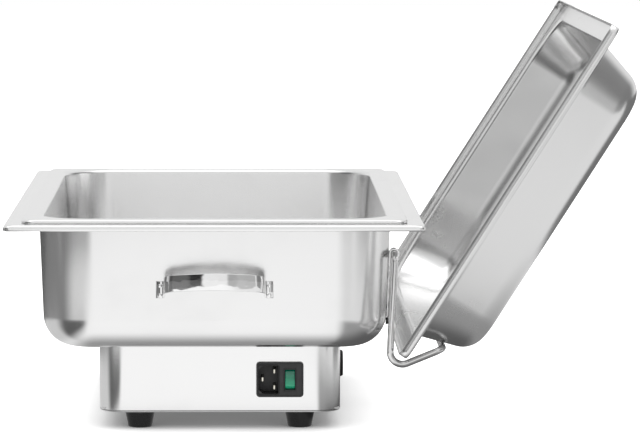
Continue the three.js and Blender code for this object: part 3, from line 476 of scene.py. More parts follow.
class Graph:
    """The node tree of a material or of the world, filled one node at a time."""

    def __init__(self, tree: bpy.types.NodeTree) -> None:
        """Empties the tree."""
        self.tree = tree
        tree.nodes.clear()

    def add(
        self, kind: str, settings: dict | None = None, inputs: dict | None = None, output: int | str = 0
    ) -> Shade:
        """A node of any type.

        Args:
            kind: the node's type name.
            settings: its properties, set first; "stops" holds a ramp's places and colours.
            inputs: values or shades by socket name or number.
            output: which output to hand back.

        Returns:
            The output socket as a shade.
        """
        node = self.tree.nodes.new(kind)
        for name, value in (settings or {}).items():
            if name == "stops":
                ramp = node.color_ramp
                while len(ramp.elements) < len(value):
                    ramp.elements.new(0.5)
                for element, (place, colour) in zip(ramp.elements, value):
                    element.position, element.color = place, colour
            else:
                setattr(node, name, value)
        for name, value in (inputs or {}).items():
            socket = node.inputs[name]
            if isinstance(value, Shade):
                self.tree.links.new(value.socket, socket)
            else:
                socket.default_value = value
        return Shade(self, node.outputs[output] if len(node.outputs) else None)

    def mix(self, share: object, low: Sequence[float] | Shade, high: Sequence[float] | Shade) -> Shade:
        """A colour between two colours.

        Args:
            share: how much of the high colour there is.
            low: the colour at nought.
            high: the colour at one.

        Returns:
            The mixed colour.
        """
        inputs = {0: share, MIX_LOW: low, MIX_HIGH: high}
        return self.add("ShaderNodeMix", {"data_type": "RGBA"}, inputs, MIX_RESULT)

    def place(self, scale: Sequence[float] = (1, 1, 1), spin: Sequence[float] = (0, 0, 0)) -> Shade:
        """Object coordinates, turned and then stretched.

        Args:
            scale: the stretch along x, y and z.
            spin: the turn about x, y and z in radians.

        Returns:
            The coordinates.
        """
        return self.add(
            "ShaderNodeMapping",
            {},
            {"Vector": self.add("ShaderNodeTexCoord", output="Object"), "Rotation": spin, "Scale": scale},
        )

    def noise(self, scale: float, where: Shade, detail: float = 3, rough: float = 0.5) -> Shade:
        """A noise value about one half."""
        inputs = {"Vector": where, "Scale": scale, "Detail": detail, "Roughness": rough}
        return self.add("ShaderNodeTexNoise", {}, inputs)

    def bump(self, height: Shade, distance: float, strength: float, over: Shade | None = None) -> Shade:
        """A bumped normal, over another one where there is one."""
        inputs = {"Height": height, "Distance": distance, "Strength": strength}
        return self.add("ShaderNodeBump", {}, inputs if over is None else inputs | {"Normal": over})


def grey(value: float, warmth: float = 0.0) -> tuple[float, float, float, float]:
    """A grey whose red rises and blue falls with the warmth."""
    return (value * (1 + warmth), value, value * (1 - warmth), 1.0)


class Grain(Enum):
    """The way that a sheet was brushed, as the stretch of its grain along x, y and z."""

    ALONG = (900.0, 5.0, 900.0)
    ACROSS = (5.0, 900.0, 900.0)
    UPRIGHT = (900.0, 900.0, 6.0)


@dataclass(frozen=True)
class Finish:
    """What every finish shares: a name, and one material made when it is first asked for."""

    name: str

    def material(self) -> bpy.types.Material:
        """The material, made once.

        Returns:
            The new material, or the one that has this name already.
        """
        found = bpy.data.materials.get(self.name)
        if found:
            return found
        made = bpy.data.materials.new(self.name)
        made.use_nodes = True
        graph = Graph(made.node_tree)
        surface = graph.add("ShaderNodeBsdfPrincipled", {}, self.sockets(graph))
        graph.add("ShaderNodeOutputMaterial", {}, {"Surface": surface})
        return made

    def sockets(self, graph: Graph) -> dict:
        """The values and links of the shader's sockets.

        Args:
            graph: the material's graph.

        Returns:
            Values and links by socket name.
        """
        raise NotImplementedError


@dataclass(frozen=True)
class Steel(Finish):
    """Stainless sheet: fine brushed grain, broad rolling waves and a few faint smears."""

    tone: float = 0.86
    rough: float = 0.2
    spread: float = 0.1
    grain: Grain = Grain.ALONG
    wave: float = 0.0006
    wave_scale: float = 9.0
    smear: float = 0.05
    smear_scale: float = 16.0
    smear_from: tuple[float, float] = (0.52, 0.75)
    broad_scale: float = 7.0
    broad_spread: float = 0.06
    grain_depth: float = 0.00001
    grain_strength: float = 0.35
    dull_share: float = 0.93

    def sockets(self, graph: Graph) -> dict:
        """Grain moves the roughness and a slight bump; smears dull it in soft patches.

        Args:
            graph: the material's graph.

        Returns:
            Values and links by socket name.
        """
        grain = graph.noise(1.0, graph.place(self.grain.value), 4, 0.65)
        broad = graph.noise(self.broad_scale, graph.place((1, 1, 1)), 3, 0.5)
        smears = graph.noise(self.smear_scale, graph.place((1, 2.3, 1), (0.2, 0.1, 0.5)), 4, 0.6)
        rough = self.rough + (grain - 0.5) * self.spread + (broad - 0.5) * self.broad_spread
        rough = rough + smears.between(*self.smear_from) * self.smear
        drawn = tuple(0.25 if v < 10 else 1.0 for v in self.grain.value)
        waved = graph.bump(graph.noise(self.wave_scale, graph.place(drawn), 2), self.wave, 1.0)
        dull, bright = grey(self.tone * self.dull_share, 0.004), grey(self.tone, -0.002)
        return {
            "Base Color": graph.mix(grain * 0.6 + broad * 0.4, dull, bright),
            "Metallic": 1.0,
            "Roughness": rough,
            "Normal": graph.bump(grain, self.grain_depth, self.grain_strength, waved),
        }


@dataclass(frozen=True)
class Polished(Finish):
    """Buffed steel: near mirror, slightly uneven, with faint buffing lines and fingered patches."""

    tone: float = 0.88
    rough: float = 0.035
    wave: float = 0.0004
    wave_scale: float = 42.0
    patch_scale: float = 60.0
    patch_from: tuple[float, float] = (0.45, 0.8)
    spread: float = 0.05
    line_depth: float = 0.00001
    line_strength: float = 0.3
    dull_share: float = 0.95

    def sockets(self, graph: Graph) -> dict:
        """Slow waves bend the mirror image, and buffing lines and patches raise the roughness a little.

        Args:
            graph: the material's graph.

        Returns:
            Values and links by socket name.
        """
        lines = graph.noise(1.0, graph.place((1400, 1400, 60), (0.3, 0.2, 0.1)), 3)
        patches = graph.noise(self.patch_scale, graph.place(), 3).between(*self.patch_from)
        waved = graph.bump(graph.noise(self.wave_scale, graph.place((1, 1, 2)), 2), self.wave, 1.0)
        return {
            "Base Color": graph.mix(patches, grey(self.tone), grey(self.tone * self.dull_share, 0.006)),
            "Metallic": 1.0,
            "Roughness": self.rough + lines * self.spread + patches * self.spread,
            "Normal": graph.bump(lines, self.line_depth, self.line_strength, waved),
        }


@dataclass(frozen=True)
class Moulded(Finish):
    """Moulded plastic or rubber: a fine skin texture and dust that lightens it a little."""

    colour: tuple[float, float, float] = (0.02, 0.02, 0.02)
    rough: float = 0.35
    texture: float = 0.00003
    dust: float = 0.25
    coat: float = 0.0
    dust_lift: float = 0.012
    dust_from: tuple[float, float] = (0.35, 0.75)
    spread: float = 0.16
    skin_scale: float = 2600.0
    patch_scale: float = 90.0

    def sockets(self, graph: Graph) -> dict:
        """Skin texture feeds the bump, and soft patches feed colour and roughness.

        Args:
            graph: the material's graph.

        Returns:
            Values and links by socket name.
        """
        skin = graph.noise(self.skin_scale, graph.place(), 2)
        patches = graph.noise(self.patch_scale, graph.place(), 4, 0.6)
        base = (*self.colour, 1.0)
        dusty = (*(min(1.0, c * (1 + self.dust) + self.dust_lift * self.dust) for c in self.colour), 1.0)
        return {
            "Base Color": graph.mix(patches.between(*self.dust_from), base, dusty),
            "Roughness": self.rough + (patches - 0.5) * self.spread,
            "Coat Weight": self.coat,
            "Normal": graph.bump(skin, self.texture, 0.5),
        }


@dataclass(frozen=True)
class GlowPaintedRocker(Finish):
    """Clear green plastic, painted paler towards its lower half and given a faint painted glow."""

    low: float = 0.0215
    high: float = 0.0365
    dark: tuple[float, float, float, float] = (0.0, 0.13, 0.075, 1)
    pale: tuple[float, float, float, float] = (0.03, 0.42, 0.22, 1)
    mottle_scale: float = 420.0
    rough: float = 0.16
    spread: float = 0.1
    glow: float = 0.25

    def sockets(self, graph: Graph) -> dict:
        """Height along the rocker sets the painted paleness of the green, and the colour glows as painted
        light.

        Args:
            graph: the material's graph.

        Returns:
            Values and links by socket name.
        """
        level = graph.add("ShaderNodeSeparateXYZ", {}, {"Vector": graph.place()}, 2)
        mottle = graph.noise(self.mottle_scale, graph.place(), 3)
        # Painted light: the lower half is painted paler and the whole key glows faintly.
        pale = (1 - level.between(self.low, self.high)) * 0.8 + (mottle - 0.5) * 0.5
        colour = graph.mix(pale, self.dark, self.pale)
        return {
            "Base Color": colour,
            "Roughness": self.rough + mottle * self.spread,
            "Coat Weight": 0.5,
            "Emission Color": colour,
            "Emission Strength": self.glow,
        }


@dataclass(frozen=True)
class Metal(Finish):
    """Plain metal of the hidden and small pieces: its own colour, cloudy tarnish and fine tool marks."""

    colour: tuple[float, float, float] = (0.7, 0.7, 0.71)
    tarnish: tuple[float, float, float] = (0.5, 0.5, 0.51)
    rough: float = 0.3
    cloud_scale: float = 70.0
    cloud_from: tuple[float, float] = (0.35, 0.8)
    cloud_spread: float = 0.12
    mark_spread: float = 0.1
    mark_depth: float = 0.00002
    mark_strength: float = 0.4

    def sockets(self, graph: Graph) -> dict:
        """Clouds mix in the tarnish and dull the surface.

        Args:
            graph: the material's graph.

        Returns:
            Values and links by socket name.
        """
        clouds = graph.noise(self.cloud_scale, graph.place(), 5, 0.6).between(*self.cloud_from)
        marks = graph.noise(1.0, graph.place((1800, 150, 1800)), 2)
        return {
            "Base Color": graph.mix(clouds, (*self.colour, 1), (*self.tarnish, 1)),
            "Metallic": 1.0,
            "Roughness": self.rough + clouds * self.cloud_spread + (marks - 0.5) * self.mark_spread,
            "Normal": graph.bump(marks, self.mark_depth, self.mark_strength),
        }


@dataclass(frozen=True)
class Fibre(Finish):
    """Pressed mineral fibre or unglazed ceramic: matt, speckled and slightly rough to the touch."""

    colour: tuple[float, float, float] = (0.75, 0.72, 0.63)
    speck: tuple[float, float, float] = (0.5, 0.46, 0.38)
    bumpiness: float = 0.0004
    bump_strength: float = 0.6
    scale: float = 650.0
    speck_from: tuple[float, float] = (0.55, 0.75)
    rough: float = 0.86
    spread: float = 0.1

    def sockets(self, graph: Graph) -> dict:
        """Fine specks and tangled fibre set colour and bump.

        Args:
            graph: the material's graph.

        Returns:
            Values and links by socket name.
        """
        tangle = graph.noise(self.scale, graph.place((1, 1, 2)), 6, 0.7)
        return {
            "Base Color": graph.mix(tangle.between(*self.speck_from), (*self.colour, 1), (*self.speck, 1)),
            "Roughness": self.rough + tangle * self.spread,
            "Normal": graph.bump(tangle, self.bumpiness, self.bump_strength),
        }


PAN_STEEL = Steel("pan_steel", 0.88, 0.2, 0.08, Grain.ALONG)
FOOD_STEEL = Steel("food_steel", 0.88, 0.22, 0.08, Grain.ALONG)
LID_STEEL = Steel("lid_steel", 0.84, 0.24, 0.09, Grain.ALONG, 0.0012, 8.0)
BASE_STEEL = Steel("base_steel", 0.9, 0.16, 0.06, Grain.UPRIGHT, 0.00012)
PLATE_STEEL = Steel("plate_steel", 0.78, 0.32, 0.1, Grain.ACROSS)
BRIGHT = Polished("bright_steel")
WIRE_STEEL = Polished("wire_steel", 0.74, 0.07, 0.00005)
SCREW_STEEL = Metal("screw_steel", (0.72, 0.72, 0.72), (0.5, 0.5, 0.5), 0.28)
BLACK = Moulded("black_rubber", (0.008, 0.008, 0.009), 0.28, 0.00004, 0.3, 0.3)
KNOB_BLACK = Moulded("knob_black", (0.012, 0.012, 0.012), 0.34, 0.00005, 0.3)
CHARCOAL = Moulded("charcoal_plastic", (0.03, 0.03, 0.031), 0.42, 0.00005, 0.35)
SOCKET_BLACK = Moulded("socket_black", (0.012, 0.012, 0.013), 0.3, 0.00003, 0.2)
MARK_WHITE = Moulded("mark_white", (0.75, 0.75, 0.74), 0.5, 0.00002, 0.05)
GREEN = GlowPaintedRocker("green_rocker")
PIN_METAL = Metal("pin_metal", (0.85, 0.82, 0.74), (0.7, 0.66, 0.55), 0.14)
BRASS = Metal("brass", (0.72, 0.58, 0.3), (0.45, 0.33, 0.16), 0.26)
ALUMINIUM = Metal("aluminium", (0.72, 0.72, 0.73), (0.6, 0.6, 0.6), 0.34)
ELEMENT = Metal("element_steel", (0.42, 0.38, 0.34), (0.18, 0.15, 0.13), 0.4)
FELT = Fibre("mineral_felt")
CERAMIC = Fibre("unglazed_ceramic", (0.84, 0.81, 0.73), (0.62, 0.58, 0.5), 0.0001)
BROWN_LEAD = Moulded("brown_lead", (0.14, 0.07, 0.045), 0.42)
BLUE_LEAD = Moulded("blue_lead", (0.05, 0.12, 0.36), 0.42)


# Pieces


class Body(Enum):
    """The moving bodies of the part."""

    DISH = "dish"
    FOOD_PAN = "food_pan"
    HOLDER = "lid_holder"
    LID = "lid"
    ROCKER = "rocker"
    KNOB = "knob"


def add_piece(
    name: str, skin: Skin, finish: Finish, body: Body, stands_for: Sequence[str] = ()
) -> bpy.types.Object:
    """Makes a mesh object from a skin, smooth-shaded, and lets it ride on a body.

    Args:
        name: the piece's name.
        skin: its shape in millimetres.
        finish: its finish.
        body: the body that it moves with.
        stands_for: the solids that it takes the place of.

    Returns:
        The new object.
    """
    mesh = bpy.data.meshes.new(name)
    mesh.from_pydata((skin.points * MM).tolist(), [], skin.quads.tolist() + skin.triangles.tolist())
    mesh.polygons.foreach_set("use_smooth", np.ones(len(mesh.polygons), bool))
    mesh.materials.append(finish.material())
    mesh.update()
    made = bpy.data.objects.new(name, mesh)
    bpy.context.scene.collection.objects.link(made)
    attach(made, body.value)
    if stands_for:
        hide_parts(*stands_for)
    LOG.info("%s: %d points, rides on %s", name, len(skin.points), body.value)
    return made


def dress(finish: Finish, *nodes: str) -> None:
    """Gives solids that stay in view their finish.

    Args:
        finish: the finish.
        nodes: the names of the solids.
    """
    for node in nodes:
        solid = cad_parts[node]
        solid.data.materials.clear()
        solid.data.materials.append(finish.material())
        LOG.info("%s: dressed in %s", node, finish.name)


def rivet(grip: float, shank: float, head: float, height: float) -> Skin:
    """A rivet up its own axis: a domed head above nought, a shank through the grip, a flat head below.

    The dome is a quarter ellipse of the head's radius and height.

    Args:
        grip: how thick the sheets between the heads are.
        shank: the radius of the shank.
        head: the radius of both heads.
        height: how far each head stands out.

    Returns:
        The closed skin.
    """
    lift = np.linspace(0, DOME_SWEEP, DOME_SPOTS)
    rise = DOME_FOOT + (1 - DOME_FOOT) * np.sin(lift)
    dome = np.stack([head * np.cos(lift), TOUCH + height * rise], 1)
    low = -grip - TOUCH
    return turned(
        [
            (head * HEAD_CHAMFER[0], low - height),
            (head, low - height * HEAD_CHAMFER[1]),
            (head, low),
            (shank, low),
            (shank, TOUCH),
            (head, TOUCH),
            *dome.tolist(),
        ],
        SMOOTH_SPOTS,
    )


@dataclass(frozen=True)
class WaterPan:
    """The outer body: drafted walls, a wide flange with a turned-down edge, and studs for the base."""

    width: float = 300
    length: float = 505
    bottom: float = 62
    depth: float = 109.5
    sheet: float = 1
    draft: float = math.radians(2.2)
    corner: float = 47
    bottom_bend: float = 27
    cap: float = 6
    flange: float = 27
    flange_bend: float = 4
    edge_bend: float = 1.5
    hem: float = 5
    flange_corner: float = 5
    stud: float = 2.5
    stud_root: float = 0.4
    studs: tuple[tuple[float, float, float], ...] = (
        (-92, -132.84, 13),
        (-92, 132.84, 13),
        (100, -132.84, 13),
        (100, 132.84, 13),
        (4, -100, 25.8),
        (4, 100, 25.8),
    )

    @property
    def top(self) -> float:
        """The level of the flange's upper face."""
        return self.bottom + self.depth

    def wall(self, level: float, size: float) -> float:
        """How far the outside of a wall lies from the middle at a level."""
        return size / 2 - (self.top - level) * math.tan(self.draft)

    def shell(self) -> Skin:
        """The pressed sheet, from the middle of its floor out to the edge of its flange.

        Returns:
            The closed skin.
        """
        fall = self.depth * math.tan(self.draft)
        under, rim = self.top - self.sheet, self.flange - self.sheet
        face = rounded_line(
            [
                (self.cap - self.corner, self.bottom),
                (-fall, self.bottom),
                (0, under),
                (rim, under),
                (rim, self.top - self.hem),
            ],
            [0, self.bottom_bend, self.flange_bend, self.edge_bend, 0],
        )
        plan = RoundedPlan(self.width / 2, self.length / 2, self.corner, self.flange, self.flange_corner)
        return plan.pressed(face, self.sheet)

    def build(self) -> None:
        """Makes the shell with its studs."""
        skins = [self.shell()]
        for x, y, long in self.studs:
            ends = [(self.stud, self.bottom - long), (self.stud, self.bottom + self.stud_root)]
            stud = turned(ends, ROUND_SPOTS)
            skins.append(stud.placed(at=(x, y, 0)))
        add_piece("water_pan_shell", Skin.joined(skins), PAN_STEEL, Body.DISH, ["water_pan"])


@dataclass(frozen=True)
class FoodPan:
    """The shallow pan that hangs by its rim in the water pan."""

    width: float = 325
    length: float = 530
    rim: float = 15.3
    rim_top: float = 174.8
    depth: float = 65
    sheet: float = 0.8
    draft: float = math.radians(4)
    corner: float = 44
    bottom_bend: float = 12
    rim_bend: float = 3
    edge_bend: float = 1.2
    lip: float = 3
    rim_corner: float = 9
    cap: float = 6

    def build(self) -> None:
        """Makes the pressed sheet."""
        under = self.rim_top - self.sheet
        edge = self.rim - self.sheet
        face = rounded_line(
            [
                (self.cap - self.corner, under - self.depth),
                (-self.depth * math.tan(self.draft), under - self.depth),
                (0, under),
                (edge, under),
                (edge, self.rim_top - self.lip),
            ],
            [0, self.bottom_bend, self.rim_bend, self.edge_bend, 0],
        )
        plan = RoundedPlan(
            self.width / 2 - self.rim, self.length / 2 - self.rim, self.corner, self.rim, self.rim_corner
        )
        shell = plan.pressed(face, self.sheet)
        add_piece("food_pan_shell", shell, FOOD_STEEL, Body.FOOD_PAN, ["food_pan"])


@dataclass(frozen=True)
class Lid:
    """The lid in its own frame, closed over its rim plane, and the way that it stands open."""

    width: float = 331
    length: float = 536
    rim: float = 16.5
    height: float = 51
    sheet: float = 0.9
    draft: float = math.radians(17)
    corner: float = 48
    top_bend: float = 22
    rim_bend: float = 4
    lip: float = 8
    lip_bend: float = 2
    rim_corner: float = 6
    cap: float = 6
    open_angle: float = math.radians(122.5)
    edge_x: float = 162.105
    edge_z: float = 56.4
    handle_length: float = 94
    handle_height: float = 22
    handle_width: float = 22
    handle_foot: float = 12
    handle_lean: float = 4
    handle_bend: float = 8
    handle_offset: float = 52
    strap: float = 2
    strap_edge: float = 0.6
    foot_bend: float = 1.6
    screw_form: tuple[float, float, float] = (1.5, 3, 1.3)

    @property
    def tilt(self) -> np.ndarray:
        """The turn from the lid's own frame to where it stands."""
        return turn("y", self.open_angle)

    @property
    def origin(self) -> np.ndarray:
        """Where the middle of the rim plane stands."""
        return np.array([self.edge_x, 0, self.edge_z]) - self.tilt @ np.array([self.width / 2, 0, 0])

    def wall(self, height: float) -> float:
        """How far the outside of the long wall lies from the lid's middle at a height over the rim."""
        return self.width / 2 - self.rim - height * math.tan(self.draft)

    def stand(self, x: float, height: float) -> np.ndarray:
        """A point of the lid's own frame, at its middle length, where it stands."""
        return self.tilt @ np.array([x, 0, height]) + self.origin

    def shell(self) -> Skin:
        """The pressed sheet, from the middle of its top out to its turned-down lip.

        Returns:
            The closed skin.
        """
        face = rounded_line(
            [
                (self.cap - self.corner, self.height),
                (-self.height * math.tan(self.draft), self.height),
                (0, 0),
                (self.rim, 0),
                (self.rim, -self.lip),
            ],
            [0, self.top_bend, self.rim_bend, self.lip_bend, 0],
        )
        plan = RoundedPlan(
            self.width / 2 - self.rim, self.length / 2 - self.rim, self.corner, self.rim, self.rim_corner
        )
        return plan.pressed(face, -self.sheet)

    def handle(self) -> Skin:
        """A flat strap bent up from two feet.

        Returns:
            The closed skin.
        """
        half, foot = self.handle_length / 2, self.strap / 2 + TOUCH
        ankle = half - self.handle_foot
        knee = ankle - self.handle_lean
        spots = [(-half, foot), (-ankle, foot), (-knee, self.handle_height), (knee, self.handle_height)]
        spots += [(ankle, foot), (half, foot)]
        bends = [0, self.foot_bend, self.handle_bend]
        line = rounded_line(spots, [*bends, *bends[::-1]])
        path = np.stack([line[:, 0] - self.handle_offset, 0 * line[:, 0], line[:, 1] + self.height], 1)
        return swept(path, flat_section(self.strap, self.handle_width, self.strap_edge), (0, 1, 0))

    def build(self) -> None:
        """Makes the lid, its handle and its two screws where they stand."""
        place = {"matrix": self.tilt, "at": self.origin}
        add_piece("lid_shell", self.shell().placed(**place), LID_STEEL, Body.LID, ["lid"])
        add_piece("lid_strap", self.handle().placed(**place), BRIGHT, Body.LID, ["lid_handle"])
        reach = (self.handle_length - self.handle_foot) / 2
        for number, side in enumerate((-1, 1), 1):
            at = (side * reach - self.handle_offset, 0, self.height + TOUCH + self.strap)
            screw = rivet(self.strap + TOUCH + self.sheet, *self.screw_form).placed(at=at).placed(**place)
            stands_for = [f"lid_handle_screw_{number}"]
            add_piece(f"lid_screw_{number}", screw, BRIGHT, Body.LID, stands_for)


@dataclass(frozen=True)
class LidHolder:
    """The bent wire that carries the lid, with its two wall brackets."""

    pan: WaterPan
    lid: Lid
    radius: float = 3
    below_flange: float = 31.1
    knuckle: float = 4.4
    leg_spread: float = 224
    tail_spread: float = 191
    rest_spread: float = 115.01
    leg_lean: float = 4.6
    hook_bend: float = 10.5
    heel_bend: float = 14
    arm_rise: float = math.radians(22)
    rest_height_share: float = 0.5
    rest_reach: float = 110.01
    wire_bend: float = 8
    stub_bend: float = 5
    tail: float = 20
    bracket_spread: float = 204
    bracket_length: float = 55
    bracket_width: float = 12
    bracket_sheet: float = 2
    bracket_edge: float = 0.2
    roll_sheet: float = 1.1
    roll_below: float = 3.2
    roll_end: float = math.radians(-135)
    roll_spots: int = 44
    wire_share: float = 0.997
    wire_aside: tuple[float, float, float] = (0.65, 0.5, -0.57)
    rivet_form: tuple[float, float, float] = (1.5, 3, 1.3)
    rivet_shares: tuple[float, float] = (0.36, 0.84)
    buffer_radius: float = 3
    buffer_height: float = 3
    buffer_sink: float = 0.4
    buffer_foot: float = 0.4
    buffer_sweep: float = 1.45
    buffer_spots: int = 8

    @property
    def level(self) -> float:
        """The level of the pivot."""
        return self.pan.top - self.below_flange

    @property
    def reach(self) -> float:
        """How far across the dish the pivot lies."""
        return self.pan.wall(self.level, self.pan.width) + TOUCH + self.knuckle

    def wire(self) -> Skin:
        """One round wire through the points of both halves.

        Returns:
            The closed skin.
        """
        lid, off = self.lid, self.radius + TOUCH
        seat_height = lid.height * self.rest_height_share
        beside = off / math.cos(lid.draft)
        seat = lid.stand(lid.wall(seat_height) + beside, seat_height)
        heel_x = lid.wall(lid.height + off) + beside
        heel = lid.stand(heel_x, lid.height + off)
        top = lid.stand(heel_x - self.rest_reach, lid.height + off)
        leg_x = self.reach - self.leg_lean
        hook_z = seat[2] - (seat[0] - leg_x) * math.tan(self.arm_rise)
        lean = self.reach - self.pan.wall(self.level - self.tail, self.pan.width) - off

        def half(side: int) -> list[tuple[float, float, float]]:
            """The corner points from one pivot tail to the back rest.

            Args:
                side: -1 for the near half, 1 for the far one.

            Returns:
                Points in three dimensions.
            """
            return [
                (self.reach - lean, side * self.tail_spread, self.level - self.tail),
                (self.reach, side * self.tail_spread, self.level),
                (self.reach, side * self.leg_spread, self.level),
                (leg_x, side * self.leg_spread, hook_z),
                (seat[0], side * self.leg_spread, seat[2]),
                (seat[0], side * self.rest_spread, seat[2]),
                (heel[0], side * self.rest_spread, heel[2]),
                (top[0], side * self.rest_spread, top[2]),
            ]

        bends = [0, self.stub_bend, self.stub_bend, self.hook_bend, self.wire_bend]
        bends += [self.wire_bend, self.heel_bend, self.wire_bend]
        path = rounded_line([*half(-1), *half(1)[::-1]], [*bends, *bends[::-1]])
        section = round_section(self.radius * self.wire_share, ROUND_SPOTS)
        return swept(path, section, self.wire_aside)

    def bracket(self, side: int) -> Skin:
        """A strip up the wall that is rolled round the wire: straight, then an arc about the pivot.

        Args:
            side: -1 for the near end of the dish, 1 for the far one.

        Returns:
            The closed skin.
        """
        wall, roll = self.bracket_sheet, self.roll_sheet
        lean = self.bracket_length * math.tan(self.pan.draft)
        middle = self.knuckle - roll / 2
        angle = np.linspace(math.pi, self.roll_end, self.roll_spots)
        arc = np.stack([middle * np.cos(angle), middle * np.sin(angle)], 1)
        heights = np.linspace(-self.bracket_length, -self.roll_below, ROUND_SPOTS)
        leaf = np.stack([-self.knuckle + wall / 2 + lean * heights / self.bracket_length, heights], 1)
        line = np.vstack([leaf, arc])
        widths = np.concatenate([np.full(len(leaf), wall), np.full(len(arc), roll)])
        path = np.stack([line[:, 0], 0 * line[:, 0], line[:, 1]], 1)
        strip = swept(path, flat_section(1, self.bracket_width, self.bracket_edge), (0, 1, 0), widths)
        return strip.placed(at=(self.reach, side * self.bracket_spread, self.level))

    def build(self) -> None:
        """Makes the wire, the brackets, their rivets and the rubber buttons below them."""
        add_piece("holder_wire", self.wire(), WIRE_STEEL, Body.HOLDER, ["lid_holder"])
        lean = turn("y", math.pi / 2 + self.pan.draft)
        for side, end in ((-1, "near"), (1, "far")):
            stands_for = [f"holder_bracket_{end}"]
            add_piece(f"bracket_{end}", self.bracket(side), BRIGHT, Body.DISH, stands_for)
            for share, row in zip(self.rivet_shares, ("upper", "lower")):
                z = self.level - self.bracket_length * share
                x = self.pan.wall(z, self.pan.width) + TOUCH + self.bracket_sheet
                shape = rivet(self.bracket_sheet + TOUCH + self.pan.sheet, *self.rivet_form).placed(lean)
                add_piece(
                    f"bracket_head_{end}_{row}",
                    shape.placed(at=(x, side * self.bracket_spread, z)),
                    BRIGHT,
                    Body.DISH,
                    [f"bracket_rivet_{end}_{row}"],
                )
            z = self.level - self.bracket_length - self.buffer_radius - TOUCH
            x = self.pan.wall(z, self.pan.width) + TOUCH - self.buffer_sink
            lift = np.linspace(0, self.buffer_sweep, self.buffer_spots)
            height = self.buffer_height * (self.buffer_foot + (1 - self.buffer_foot) * np.sin(lift))
            dome = np.stack([self.buffer_radius * np.cos(lift), height], 1)
            button = turned([(self.buffer_radius, 0), *dome.tolist()], SMOOTH_SPOTS).placed(lean)
            add_piece(
                f"button_{end}",
                button.placed(at=(x, side * self.bracket_spread, z)),
                BLACK,
                Body.DISH,
                [f"bracket_buffer_{end}"],
            )


@dataclass(frozen=True)
class CarryingHandle:
    """A bowed strap on an end wall, which rises as it leaves the wall."""

    pan: WaterPan
    end: int
    width: float = 99
    foot: float = 6.5
    strap_height: float = 14.5
    thickness: float = 2
    reach: float = 38.016
    shoulder_reach: float = 24.9975
    shoulder_inset: float = 7.5
    shoulder_bend: float = 12
    bow: float = 89.991
    foot_bend: float = 1.6
    crown: float = 1.0
    tilt: float = math.radians(19.5)
    below_flange: float = 57.6
    strap_edge: float = 0.5
    rivet_spacing: float = 8
    rivet_form: tuple[float, float, float] = (1, 1.7, 1)

    def strap(self) -> Skin:
        """The strap: a flat section along the bow, sheared upwards with its distance from the wall.

        Returns:
            The closed skin.
        """
        half, foot = self.width / 2, self.thickness / 2 + TOUCH
        ankle, shoulder = half - self.foot, half - self.shoulder_inset
        spots = [(-half, foot), (-ankle, foot), (-shoulder, self.shoulder_reach), (0, self.reach)]
        spots += [(shoulder, self.shoulder_reach), (ankle, foot), (half, foot)]
        bends = [0, self.foot_bend, self.shoulder_bend, self.bow, self.shoulder_bend, self.foot_bend, 0]
        line = rounded_line(spots, bends)
        path = np.stack([line[:, 0], line[:, 1], 0 * line[:, 0]], 1)
        section = crowned_section(self.thickness, self.strap_height, self.strap_edge, self.crown)
        flat = swept(path, section, (0, 0, 1))
        shear = np.array([[1, 0, 0], [0, 1, 0], [0, math.tan(self.tilt), 1]])
        spin = turn("z", math.pi if self.end < 0 else 0)
        level = self.pan.top - self.below_flange
        place = (0, self.end * self.pan.wall(level, self.pan.length), level)
        return flat.placed(spin @ turn("x", -self.pan.draft) @ shear, place)

    def build(self) -> None:
        """Makes the strap and its four rivets."""
        name = "near" if self.end < 0 else "far"
        add_piece(f"strap_{name}", self.strap(), BRIGHT, Body.DISH, [f"handle_{name}"])
        number = 0
        for side in (-1, 1):
            for row in (-1, 1):
                number += 1
                z = self.pan.top - self.below_flange + row * self.rivet_spacing / 2
                y = self.end * (self.pan.wall(z, self.pan.length) + TOUCH + self.thickness)
                shape = rivet(self.thickness + TOUCH + self.pan.sheet, *self.rivet_form)
                lean = turn("x", -self.end * (math.pi / 2 + self.pan.draft))
                add_piece(
                    f"strap_{name}_head_{number}",
                    shape.placed(lean, (side * (self.width - self.foot) / 2, y, z)),
                    BRIGHT,
                    Body.DISH,
                    [f"handle_{name}_rivet_{number}"],
                )


